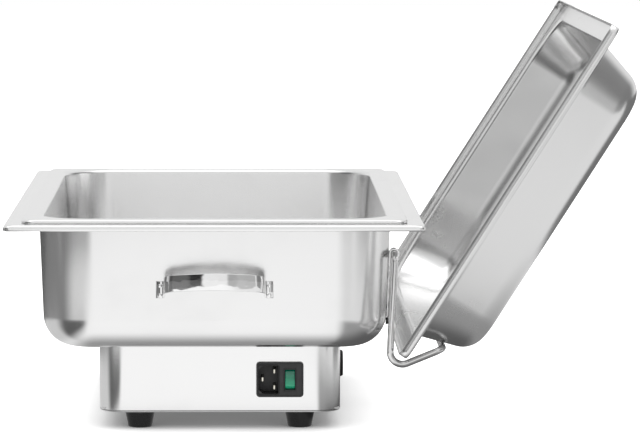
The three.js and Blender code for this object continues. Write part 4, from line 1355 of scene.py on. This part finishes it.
@dataclass(frozen=True)
class Base:
    """The sheet housing under the pan with its cross straps, base plate, feet and nuts."""

    width: float = 209
    length: float = 369
    height: float = 62
    sheet: float = 1
    corner: float = 22
    bend: float = 3
    flange: float = 15
    shift: float = 4
    plate: float = 1
    plate_inset: float = 0.5
    strap_width: float = 24
    strap_sheet: float = 1.2
    strap_lift: float = 0.4
    foot_height: float = 15
    foot_inset_x: float = 35.1
    foot_inset_y: float = 20
    foot_top: float = 12.7
    foot_sole: float = 10.2
    foot_recess: float = 4.8
    foot_bore: float = 2.3
    recess_depth: float = 6
    foot_shoulder: float = 2
    foot_bends: tuple[float, float, float] = (1.6, 1.2, 0.5)
    foot_margin: float = 0.4
    foot_spots: int = 64
    strap_side_gap: float = 0.2
    strap_corner: float = 0.5
    strap_edge: float = 0.2
    plate_edge: float = 0.3
    sill: float = 0.5
    cut_margin: float = 0.6
    cut_x: tuple[float, float] = (37.1, 74.7)
    cut_z: tuple[float, float] = (15.1, 42.3)
    feet: int = 4

    def places(self) -> list[tuple[float, float]]:
        """Where the feet stand."""
        x, y = self.width / 2 - self.foot_inset_x, self.length / 2 - self.foot_inset_y
        return [(self.shift + a * x, b * y) for b in (-1, 1) for a in (-1, 1)]

    def housing(self) -> Skin:
        """The outer face of the bent sheet, with the faces behind the inlet left out.

        Returns:
            An open skin that the sheet's thickness is added to.
        """
        low, top = self.plate + TOUCH, self.height - TOUCH
        face = rounded_line([(0, low), (0, top), (-self.flange, top)], [0, self.bend, 0])
        margin = self.cut_margin
        rows = (low, low + self.sill, self.cut_z[0] - margin, *self.cut_z, self.cut_z[1] + margin)
        face = np.vstack([np.array([[0.0, z] for z in rows]), face[1:]])
        plan = RoundedPlan(self.width / 2, self.length / 2, self.corner, middle_x=self.shift)
        grid = plan.rings(face, (self.cut_x[0] - margin, *self.cut_x, self.cut_x[1] + margin))
        skin = Skin.woven(grid, capped=False, turned_out=False)
        middle = skin.points[skin.quads].mean(1)
        hole = middle[:, 1] < 2 - self.length / 2
        hole &= (middle[:, 0] > self.cut_x[0]) & (middle[:, 0] < self.cut_x[1])
        hole &= (middle[:, 2] > self.cut_z[0]) & (middle[:, 2] < self.cut_z[1])
        return Skin(skin.points, skin.quads[~hole], skin.triangles)

    def foot(self) -> Skin:
        """A tapered foot with a bore and a recess for its screw.

        Returns:
            The closed skin.
        """
        low, wall = -self.foot_height, self.foot_top
        spots = [(self.foot_recess, low), (self.foot_sole, low), (wall, -self.foot_shoulder)]
        spots += [(wall, -TOUCH), (self.foot_bore, -TOUCH)]
        outer = rounded_line(spots, [0, *self.foot_bends, 0], self.foot_margin)
        inner = [(self.foot_bore, low + self.recess_depth), (self.foot_recess, low + self.recess_depth)]
        return turned([*outer.tolist(), *inner], self.foot_spots, looped=True)

    def build(self) -> None:
        """Makes the housing with its sheet thickness, its straps, the plate and the feet."""
        skin = self.housing()
        walls = add_piece("housing_sheet", skin, BASE_STEEL, Body.DISH, ["base_housing"])
        solidify = walls.modifiers.new("sheet", "SOLIDIFY")
        solidify.thickness, solidify.offset = self.sheet * MM, -1
        level = self.plate + TOUCH + self.strap_lift + self.strap_sheet / 2
        long = self.width - 2 * self.sheet + 2 * self.strap_side_gap
        size = (long, self.strap_width, self.strap_sheet)
        for side, end in ((-1, "near"), (1, "far")):
            at = (self.shift, side * (self.length / 2 - self.foot_inset_y), level)
            add_piece(
                f"cross_strap_{end}",
                rounded_block(size, at, self.strap_corner, self.strap_edge),
                PLATE_STEEL,
                Body.DISH,
            )
        plate = rounded_block(
            (self.width - 2 * self.plate_inset, self.length - 2 * self.plate_inset, self.plate),
            (self.shift, 0, self.plate / 2),
            self.corner - self.plate_inset,
            self.plate_edge,
        )
        add_piece("floor_plate", plate, PLATE_STEEL, Body.DISH, ["base_plate"])
        for number, (x, y) in enumerate(self.places(), 1):
            foot = self.foot().placed(at=(x, y, 0))
            add_piece(f"rubber_foot_{number}", foot, BLACK, Body.DISH, [f"foot_{number}"])
        for kind in ("foot_screw", "housing_nut"):
            dress(SCREW_STEEL, *(f"{kind}_{number}" for number in range(1, self.feet + 1)))


@dataclass(frozen=True)
class Inlet:
    """The inlet in the front wall: frames round the module, its socket and its rocker, pins and rocker."""

    x: float = 55.9
    z: float = 28.7
    front: float = -187.2
    width: float = 40.8
    height: float = 30.4
    corner: float = 3
    socket_x: float = 46.0
    socket_width: float = 17
    socket_height: float = 24.4
    rocker_x: float = 64.65
    rocker_width: float = 8.2
    rocker_radius: float = 8.35
    rocker_depth: float = 5
    rocker_crest: float = 6.2
    rocker_dish: float = 1.2
    rocker_back: float = 3
    rocker_tilt: float = math.radians(10)
    rocker_edge: float = 0.7
    rocker_arc_spots: int = 18
    rocker_face_spots: int = 19
    rocker_edge_spots: int = 6
    outer_band: float = 1.5
    outer_proud: float = 0.5
    rocker_band: float = 1.2
    rocker_margin: float = 1.7
    rocker_frame: float = 10.2
    socket_band: float = 1.0
    socket_proud: float = 0.4
    socket_margin: float = 1.1
    socket_corner: float = 2.4
    bead_sink: float = 0.3
    bead_spots: int = 12
    pin_corner: float = 0.8
    pin_edge: float = 0.6

    def frame_ring(
        self,
        half_x: float,
        half_z: float,
        corner: float,
        band: float,
        proud: float,
        at: tuple[float, float],
    ) -> Skin:
        """A low bead on the front face: a half ellipse carried round a rounded rectangle.

        Args:
            half_x: half of the rectangle's width.
            half_z: half of its height.
            corner: its corner radius.
            band: how wide the bead is.
            proud: how far it stands out.
            at: the rectangle's middle in x and z.

        Returns:
            The closed bead.
        """
        angle = np.linspace(0, math.pi, self.bead_spots)
        line = np.stack([band / 2 * (np.cos(angle) - 1), proud * np.sin(angle)], 1)
        line = np.vstack([line, [[-band, -self.bead_sink], [0, -self.bead_sink]]])
        grid = RoundedPlan(half_x, half_z, corner, flat_margin=self.bead_sink).rings(line)
        return Skin.woven(grid, looped=True).placed(turn("x", math.pi / 2), (at[0], self.front, at[1]))

    def rocker(self) -> Skin:
        """The rocker: arcs about its pivot at both ends, a dished face and edges rounded across it.

        Returns:
            The closed skin.
        """
        face = math.sqrt(self.rocker_radius**2 - self.rocker_crest**2)
        back = math.sqrt(self.rocker_radius**2 - self.rocker_back**2)
        first, last = math.atan2(self.rocker_crest, -face), math.atan2(back, self.rocker_back)
        arc = np.linspace(first, last, self.rocker_arc_spots)
        upper = np.stack([self.rocker_radius * np.cos(arc), self.rocker_radius * np.sin(arc)], 1)
        lower = (upper * [1, -1])[::-1]
        across = np.linspace(-1, 1, self.rocker_face_spots)[1:-1]
        dish = np.stack([-face + self.rocker_dish * (1 - across**2), across * self.rocker_crest], 1)
        outline = np.vstack([upper, lower, dish])
        half, edge = self.rocker_width / 2, self.rocker_edge
        angle = np.linspace(0, math.pi / 2, self.rocker_edge_spots)
        draw = np.concatenate([edge * (1 - np.sin(angle)), edge * (1 - np.cos(angle))])
        side = np.concatenate([-half + edge * (1 - np.cos(angle)), half - edge * (1 - np.sin(angle))])
        scale = 1 - draw / self.rocker_radius
        grid = np.stack(
            [
                np.broadcast_to(side[:, None], (len(side), len(outline))),
                outline[None, :, 0] * scale[:, None],
                outline[None, :, 1] * scale[:, None],
            ],
            -1,
        )
        pivot = (self.rocker_x, self.front + self.rocker_depth, self.z)
        return Skin.woven(grid).placed(turn("x", -self.rocker_tilt), pivot)

    def build(self) -> None:
        """Makes the frames, the three pins and the rocker, and dresses the module."""
        proud, band = self.outer_proud, self.rocker_band
        half_x, half_z = self.width / 2, self.height / 2
        outer = self.frame_ring(half_x, half_z, self.corner, self.outer_band, proud, (self.x, self.z))
        half_x, half_z = self.rocker_width / 2 + self.rocker_margin, self.rocker_frame
        inner = self.frame_ring(half_x, half_z, band, band, proud, (self.rocker_x, self.z))
        add_piece("inlet_frames", Skin.joined([outer, inner]), CHARCOAL, Body.DISH)
        half_x = self.socket_width / 2 + self.socket_margin
        half_z = self.socket_height / 2 + self.socket_margin
        proud, band, corner = self.socket_proud, self.socket_band, self.socket_corner
        socket = self.frame_ring(half_x, half_z, corner, band, proud, (self.socket_x, self.z))
        add_piece("socket_frame", socket, SOCKET_BLACK, Body.DISH)
        dress(CHARCOAL, "power_inlet")
        for name in ("live", "neutral", "earth"):
            node = f"inlet_pin_{name}"
            low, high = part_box(node)
            size, middle = (high - low) / MM, (high + low) / 2 / MM
            pin = rounded_block((size[0], size[2], size[1]), (0, 0, 0), self.pin_corner, self.pin_edge)
            pin = pin.placed(turn("x", math.pi / 2), middle)
            add_piece(f"pin_{name}", pin, PIN_METAL, Body.DISH, [node])
        add_piece("rocker_key", self.rocker(), GREEN, Body.ROCKER, ["switch_rocker"])


@dataclass(frozen=True)
class Knob:
    """The thermostat's knob on the long wall, with finger ridges and a pointer."""

    wall_x: float = 108.5
    standoff: float = 0.6
    y: float = -28
    z: float = 22
    radius: float = 12.4
    height: float = 5.6
    taper: float = 1.2
    bore: float = 3.3
    bore_depth: float = 3.5
    foot_inset: float = 0.5
    crown_radius: float = 2
    bends: tuple[float, float] = (1, 0.9)
    margin: float = 0.3
    spots: int = 144
    ridges: tuple[int, float] = (36, 0.45)
    pointer_size: tuple[float, float, float] = (7.5, 1.1, 0.5)
    pointer_x: float = -6.3
    pointer_sink: float = 0.12
    pointer_corner: float = 0.5
    pointer_edge: float = 0.2

    def build(self) -> None:
        """Makes the knob and its pointer, and dresses the shaft."""
        profile = [(self.bore, self.bore_depth), (self.bore, 0), (self.radius - self.foot_inset, 0)]
        spots = [(self.radius, 0), (self.radius, self.height / 2), (self.radius - self.taper, self.height)]
        spots.append((self.crown_radius, self.height))
        side = rounded_line(spots, [0, *self.bends, 0], self.margin)
        cap = turned([*profile, *side.tolist()], self.spots, ridges=self.ridges)
        place = {"matrix": turn("y", math.pi / 2), "at": (self.wall_x + self.standoff, self.y, self.z)}
        add_piece("knob_cap", cap.placed(**place), KNOB_BLACK, Body.KNOB, ["thermostat_knob"])
        at = (self.pointer_x, 0, self.height - self.pointer_sink)
        pointer = rounded_block(self.pointer_size, at, self.pointer_corner, self.pointer_edge)
        add_piece("knob_pointer", pointer.placed(**place), MARK_WHITE, Body.KNOB)
        dress(SCREW_STEEL, "thermostat_shaft")


def dress_heater() -> None:
    """Dresses the solids inside the base."""
    dress(ALUMINIUM, "heater_plate")
    dress(ELEMENT, "heating_element")
    dress(FELT, "insulation_pad")
    dress(PLATE_STEEL, "press_plate")
    dress(SCREW_STEEL, "heater_nut_1", "heater_nut_2")
    dress(CERAMIC, "thermal_cutout", "terminal_block", "thermostat_body")
    dress(BRASS, "thermostat_sensor")
    dress(BROWN_LEAD, "live_lead", "element_lead")
    dress(BLUE_LEAD, "neutral_lead")


# Studio


@dataclass(frozen=True)
class Studio:
    """The camera at the photograph's place, the pale floor, the lamp and the world.

    Places and reaches are in metres but for the floor's level. A pair is where a soft step starts and
    ends, and each room level is an angle in degrees from the front to the left with its brightness. Where
    metal sees the floor, its shade and the room on it are painted.
    """

    place: tuple[float, float, float] = (0.01869, -3.4394, 0.48046)
    yaw: float = 0.0220
    pitch: float = 0.0957
    roll: float = 0.0021
    focal_pixels: float = 3797.3
    image_width: float = 640
    sensor: float = 36
    clip: tuple[float, float] = (0.1, 60)
    floor_level: float = -15
    floor_half: float = 9.0
    floor_lift: float = 0.93
    floor_glow: float = 0.97
    floor_pale: float = 0.86
    floor_in_metal: float = 0.1
    contact_samples: int = 16
    contact_power: float = 1.2
    contact_reach: float = 0.052
    # From here to paper_cut: the places and levels of the floor's painted shade as metal sees it.
    floor_dark: float = 0.3
    floor_near: tuple[float, float] = (0.02, 0.13)
    left_centre: tuple[float, float] = (-0.1, -0.2)
    right_centre: tuple[float, float] = (0.1, -0.2)
    base_centre: float = 0.05
    base_half: tuple[float, float] = (0.15, 0.18)
    beside_base: tuple[float, float] = (0.42, 0.62)
    base_left_x: tuple[float, float] = (0.12, 0.2)
    pan_left_x: tuple[float, float] = (0.15, 0.3)
    base_left: tuple[float, float] = (math.radians(8), math.radians(26))
    base_left_end: tuple[float, float] = (math.radians(66), math.radians(95))
    base_left_dark: float = 0.97
    base_left_rest: float = 0.6
    pan_left: tuple[float, float] = (math.radians(40), math.radians(74))
    pan_left_dark: float = 0.88
    base_right: tuple[float, float] = (math.radians(0), math.radians(25))
    base_right_dark: float = 0.74
    pan_right_dark: float = 0.2
    behind: tuple[float, float] = (0.42, 0.55)
    behind_dark: float = 0.88
    behind_right: tuple[float, float] = (0.42, 0.55)
    behind_nearer: float = 0.66
    front: float = -0.28
    paper_edge: float = 1.13
    paper_soft: float = 0.03
    paper_ahead: tuple[float, float] = (0.1, 0.3)
    paper_cut_from: tuple[float, float] = (math.radians(8), math.radians(14))
    paper_cut: float = 0.22
    ceiling_from: tuple[float, float] = (0.1, 0.3)
    side_from: tuple[float, float] = (0.5, 0.8)
    side_rise: float = 0.4
    room_levels: tuple[tuple[float, float], ...] = (
        (-180, 0.86),
        (-140, 0.86),
        (-112, 0.22),
        (-60, 0.22),
        (-48, 0.4),
        (-46, 0.85),
        (-41, 0.85),
        (-39, 0.46),
        (-26, 0.5),
        (-23, 0.42),
        (-15, 0.42),
        (-13, 0.88),
        (13, 0.88),
        (15, 0.03),
        (27, 0.03),
        (30, 0.13),
        (47, 0.13),
        (52, 0.08),
        (74, 0.1),
        (84, 0.5),
        (100, 0.62),
        (135, 0.86),
        (180, 0.86),
    )
    even: float = 0.8
    lamp_at: tuple[float, float, float] = (0.1, -0.2, 2.6)
    lamp_towards: tuple[float, float, float] = (0.05, 0, 0.1)
    lamp_side: tuple[float, float, float] = (0.0, 1.0, 0.2)
    lamp_size: float = 2.6
    lamp_power: float = 21.0
    ceiling: float = 0.84

    def camera(self) -> None:
        """A camera whose forward line is turned to +X by the yaw and down by the pitch."""
        cy, sy = math.cos(self.yaw), math.sin(self.yaw)
        cp, sp = math.cos(self.pitch), math.sin(self.pitch)
        forward = np.array([sy * cp, cy * cp, -sp])
        level = np.array([cy, -sy, 0.0])
        upright = np.cross(level, forward)
        right = math.cos(self.roll) * level + math.sin(self.roll) * upright
        up = np.cross(right, forward)
        data = bpy.data.cameras.new("camera")
        data.sensor_width = self.sensor
        data.lens = self.focal_pixels / self.image_width * self.sensor
        data.clip_start, data.clip_end = self.clip
        made = bpy.data.objects.new("camera", data)
        rows = np.eye(4)
        rows[:3, 0], rows[:3, 1], rows[:3, 2], rows[:3, 3] = right, up, -forward, self.place
        made.matrix_world = Matrix(rows.tolist())
        bpy.context.scene.collection.objects.link(made)
        bpy.context.scene.camera = made

    def room(self, graph: Graph, left: Shade) -> Shade:
        """How bright the far room is to metal, by the angle from the front to the left.

        Args:
            graph: the graph that asks.
            left: the angle in radians, negative to the right.

        Returns:
            A level from nought to one.
        """
        stops = [(math.radians(way) / math.tau + 0.5, grey(level)) for way, level in self.room_levels]
        return graph.add("ShaderNodeValToRGB", {"stops": stops}, {"Fac": left * (0.5 / math.pi) + 0.5})

    def painted_floor_shade(self, graph: Graph) -> Shade:
        """How bright the floor is to metal, as painted shade: a painted shadow of the dish, painted dark
        to the left, and a painted room past its edge.

        Args:
            graph: the floor's graph.

        Returns:
            A level from nought to one.
        """
        x, y = (graph.add("ShaderNodeSeparateXYZ", {}, {"Vector": graph.place()}, k) for k in range(2))
        left_x, left_y = x - self.left_centre[0], y - self.left_centre[1]
        right_x, right_y = x - self.right_centre[0], y - self.right_centre[1]
        left = (left_x * -1.0).angle(left_y * -1.0)
        right = right_x.angle(right_y * -1.0)
        beside = (x - self.base_centre).size().over(self.base_half[0]) * 2.0
        before = y.size().over(self.base_half[1])
        away = ((beside * beside + before * before) ** 0.5).between(*self.floor_near)
        spread = ((left_x * left_x + left_y * left_y) ** 0.5).between(*self.beside_base)
        ended = left.between(*self.base_left_end) * self.base_left_rest
        base_dark = left.between(*self.base_left) * (1 - ended)
        base_dark = base_dark * (x * -1.0).between(*self.base_left_x)
        pan_dark = left.between(*self.pan_left) * (x * -1.0).between(*self.pan_left_x)
        turned_right = right.between(*self.base_right)
        dark = base_dark * (1 - spread) * self.base_left_dark + pan_dark * spread * self.pan_left_dark
        dim = turned_right * (self.base_right_dark - spread * (self.base_right_dark - self.pan_right_dark))
        aside = x.between(*self.behind_right) * self.behind_nearer
        back = 1 - (y + aside).between(*self.behind) * self.behind_dark
        near = (self.floor_dark + (1 - self.floor_dark) * away) * (1 - dark) * (1 - dim) * back
        ahead = (y - self.front) * -1.0
        reach = (x * x + ahead * ahead) ** 0.5
        turned_left = (x * -1.0).angle(ahead)
        edge = self.paper_edge - turned_left.between(*self.paper_cut_from) * self.paper_cut
        beyond = (reach - edge).between(-self.paper_soft, self.paper_soft)
        beyond = beyond * ahead.between(*self.paper_ahead)
        return near * (1 - beyond) + self.room(graph, turned_left) * beyond

    def floor(self) -> None:
        """A pale floor: white to the camera but for the dish's shadow, and painted with shade and a room
        where metal sees it.
        """
        mesh = bpy.data.meshes.new("floor")
        half, level = self.floor_half, self.floor_level * MM
        spots = [(-half, -half, level), (half, -half, level), (half, half, level), (-half, half, level)]
        mesh.from_pydata(spots, [], [(0, 1, 2, 3)])
        material = bpy.data.materials.new("floor_paper")
        material.use_nodes = True
        graph = Graph(material.node_tree)
        seen = graph.add("ShaderNodeLightPath", output="Is Camera Ray")
        mirror = graph.add("ShaderNodeLightPath", output="Is Glossy Ray")
        reach = {"Distance": self.contact_reach}
        hidden = graph.add("ShaderNodeAmbientOcclusion", {"samples": self.contact_samples}, reach, 1)
        level = seen * hidden**self.contact_power * self.floor_lift
        # Painted shade: to glossy rays the floor is a dark matt and glows by the levels painted in the
        # method above.
        level = level + mirror * self.painted_floor_shade(graph) * self.floor_glow
        glow = graph.add("ShaderNodeEmission", {}, {"Strength": level})
        colour = graph.mix(mirror, grey(self.floor_pale), grey(self.floor_in_metal))
        matt = graph.add("ShaderNodeBsdfDiffuse", {}, {"Color": colour})
        both = graph.add("ShaderNodeAddShader", {}, {0: matt, 1: glow})
        graph.add("ShaderNodeOutputMaterial", {}, {"Surface": both})
        mesh.materials.append(material)
        made = bpy.data.objects.new("floor", mesh)
        bpy.context.scene.collection.objects.link(made)

    def world(self) -> None:
        """White to the camera, even to matt surfaces, and to metal a bright room with darker sides."""
        world = bpy.data.worlds.new("studio")
        world.use_nodes = True
        bpy.context.scene.world = world
        graph = Graph(world.node_tree)
        rays = graph.add("ShaderNodeLightPath", output="Is Camera Ray")
        mirror = graph.add("ShaderNodeLightPath", output="Is Glossy Ray")
        clear = graph.add("ShaderNodeLightPath", output="Is Transmission Ray")
        way = graph.add("ShaderNodeTexCoord", output="Generated")
        x, y, z = (graph.add("ShaderNodeSeparateXYZ", {}, {"Vector": way}, k) for k in range(3))
        sides = x.size().between(*self.side_from)
        above = (z - sides * self.side_rise).between(*self.ceiling_from)
        left = (x * -1.0).angle(y * -1.0)
        room = above * self.ceiling + (1 - above) * self.room(graph, left)
        seen = rays + clear * (1 - rays)
        level = seen + (1 - seen) * (mirror * room + (1 - mirror) * self.even)
        lit = graph.add("ShaderNodeBackground", {}, {"Color": grey(1.0), "Strength": level})
        graph.add("ShaderNodeOutputWorld", {}, {"Surface": lit})

    def lamps(self) -> None:
        """One broad soft lamp overhead."""
        data = bpy.data.lights.new("overhead", "AREA")
        data.shape, data.size, data.energy = "SQUARE", self.lamp_size, self.lamp_power
        lamp = bpy.data.objects.new("overhead", data)
        back = unit(np.array(self.lamp_at) - np.array(self.lamp_towards))
        side = unit(np.cross(self.lamp_side, back))
        rows = np.eye(4)
        rows[:3, 0], rows[:3, 1], rows[:3, 2], rows[:3, 3] = side, np.cross(back, side), back, self.lamp_at
        lamp.matrix_world = Matrix(rows.tolist())
        bpy.context.scene.collection.objects.link(lamp)

    def build(self) -> None:
        """Sets the view transform and makes the whole stage."""
        bpy.context.scene.view_settings.view_transform = "Standard"
        self.camera()
        self.floor()
        self.world()
        self.lamps()


def corners(box: tuple) -> list[list[float]]:
    """A box's lowest and highest corner as plain lists."""
    return [list(map(float, corner)) for corner in box]


def main() -> None:
    """Builds the studio and every sub-assembly in order."""
    logging.basicConfig(level=logging.INFO, format="%(name)s: %(message)s")
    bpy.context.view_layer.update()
    Studio().build()
    pan, lid = WaterPan(), Lid()
    pan.build()
    FoodPan().build()
    lid.build()
    LidHolder(pan, lid).build()
    CarryingHandle(pan, -1).build()
    CarryingHandle(pan, 1).build()
    Base().build()
    Inlet().build()
    Knob().build()
    dress_heater()
    bpy.context.view_layer.update()


if __name__ == "__main__":
    main()
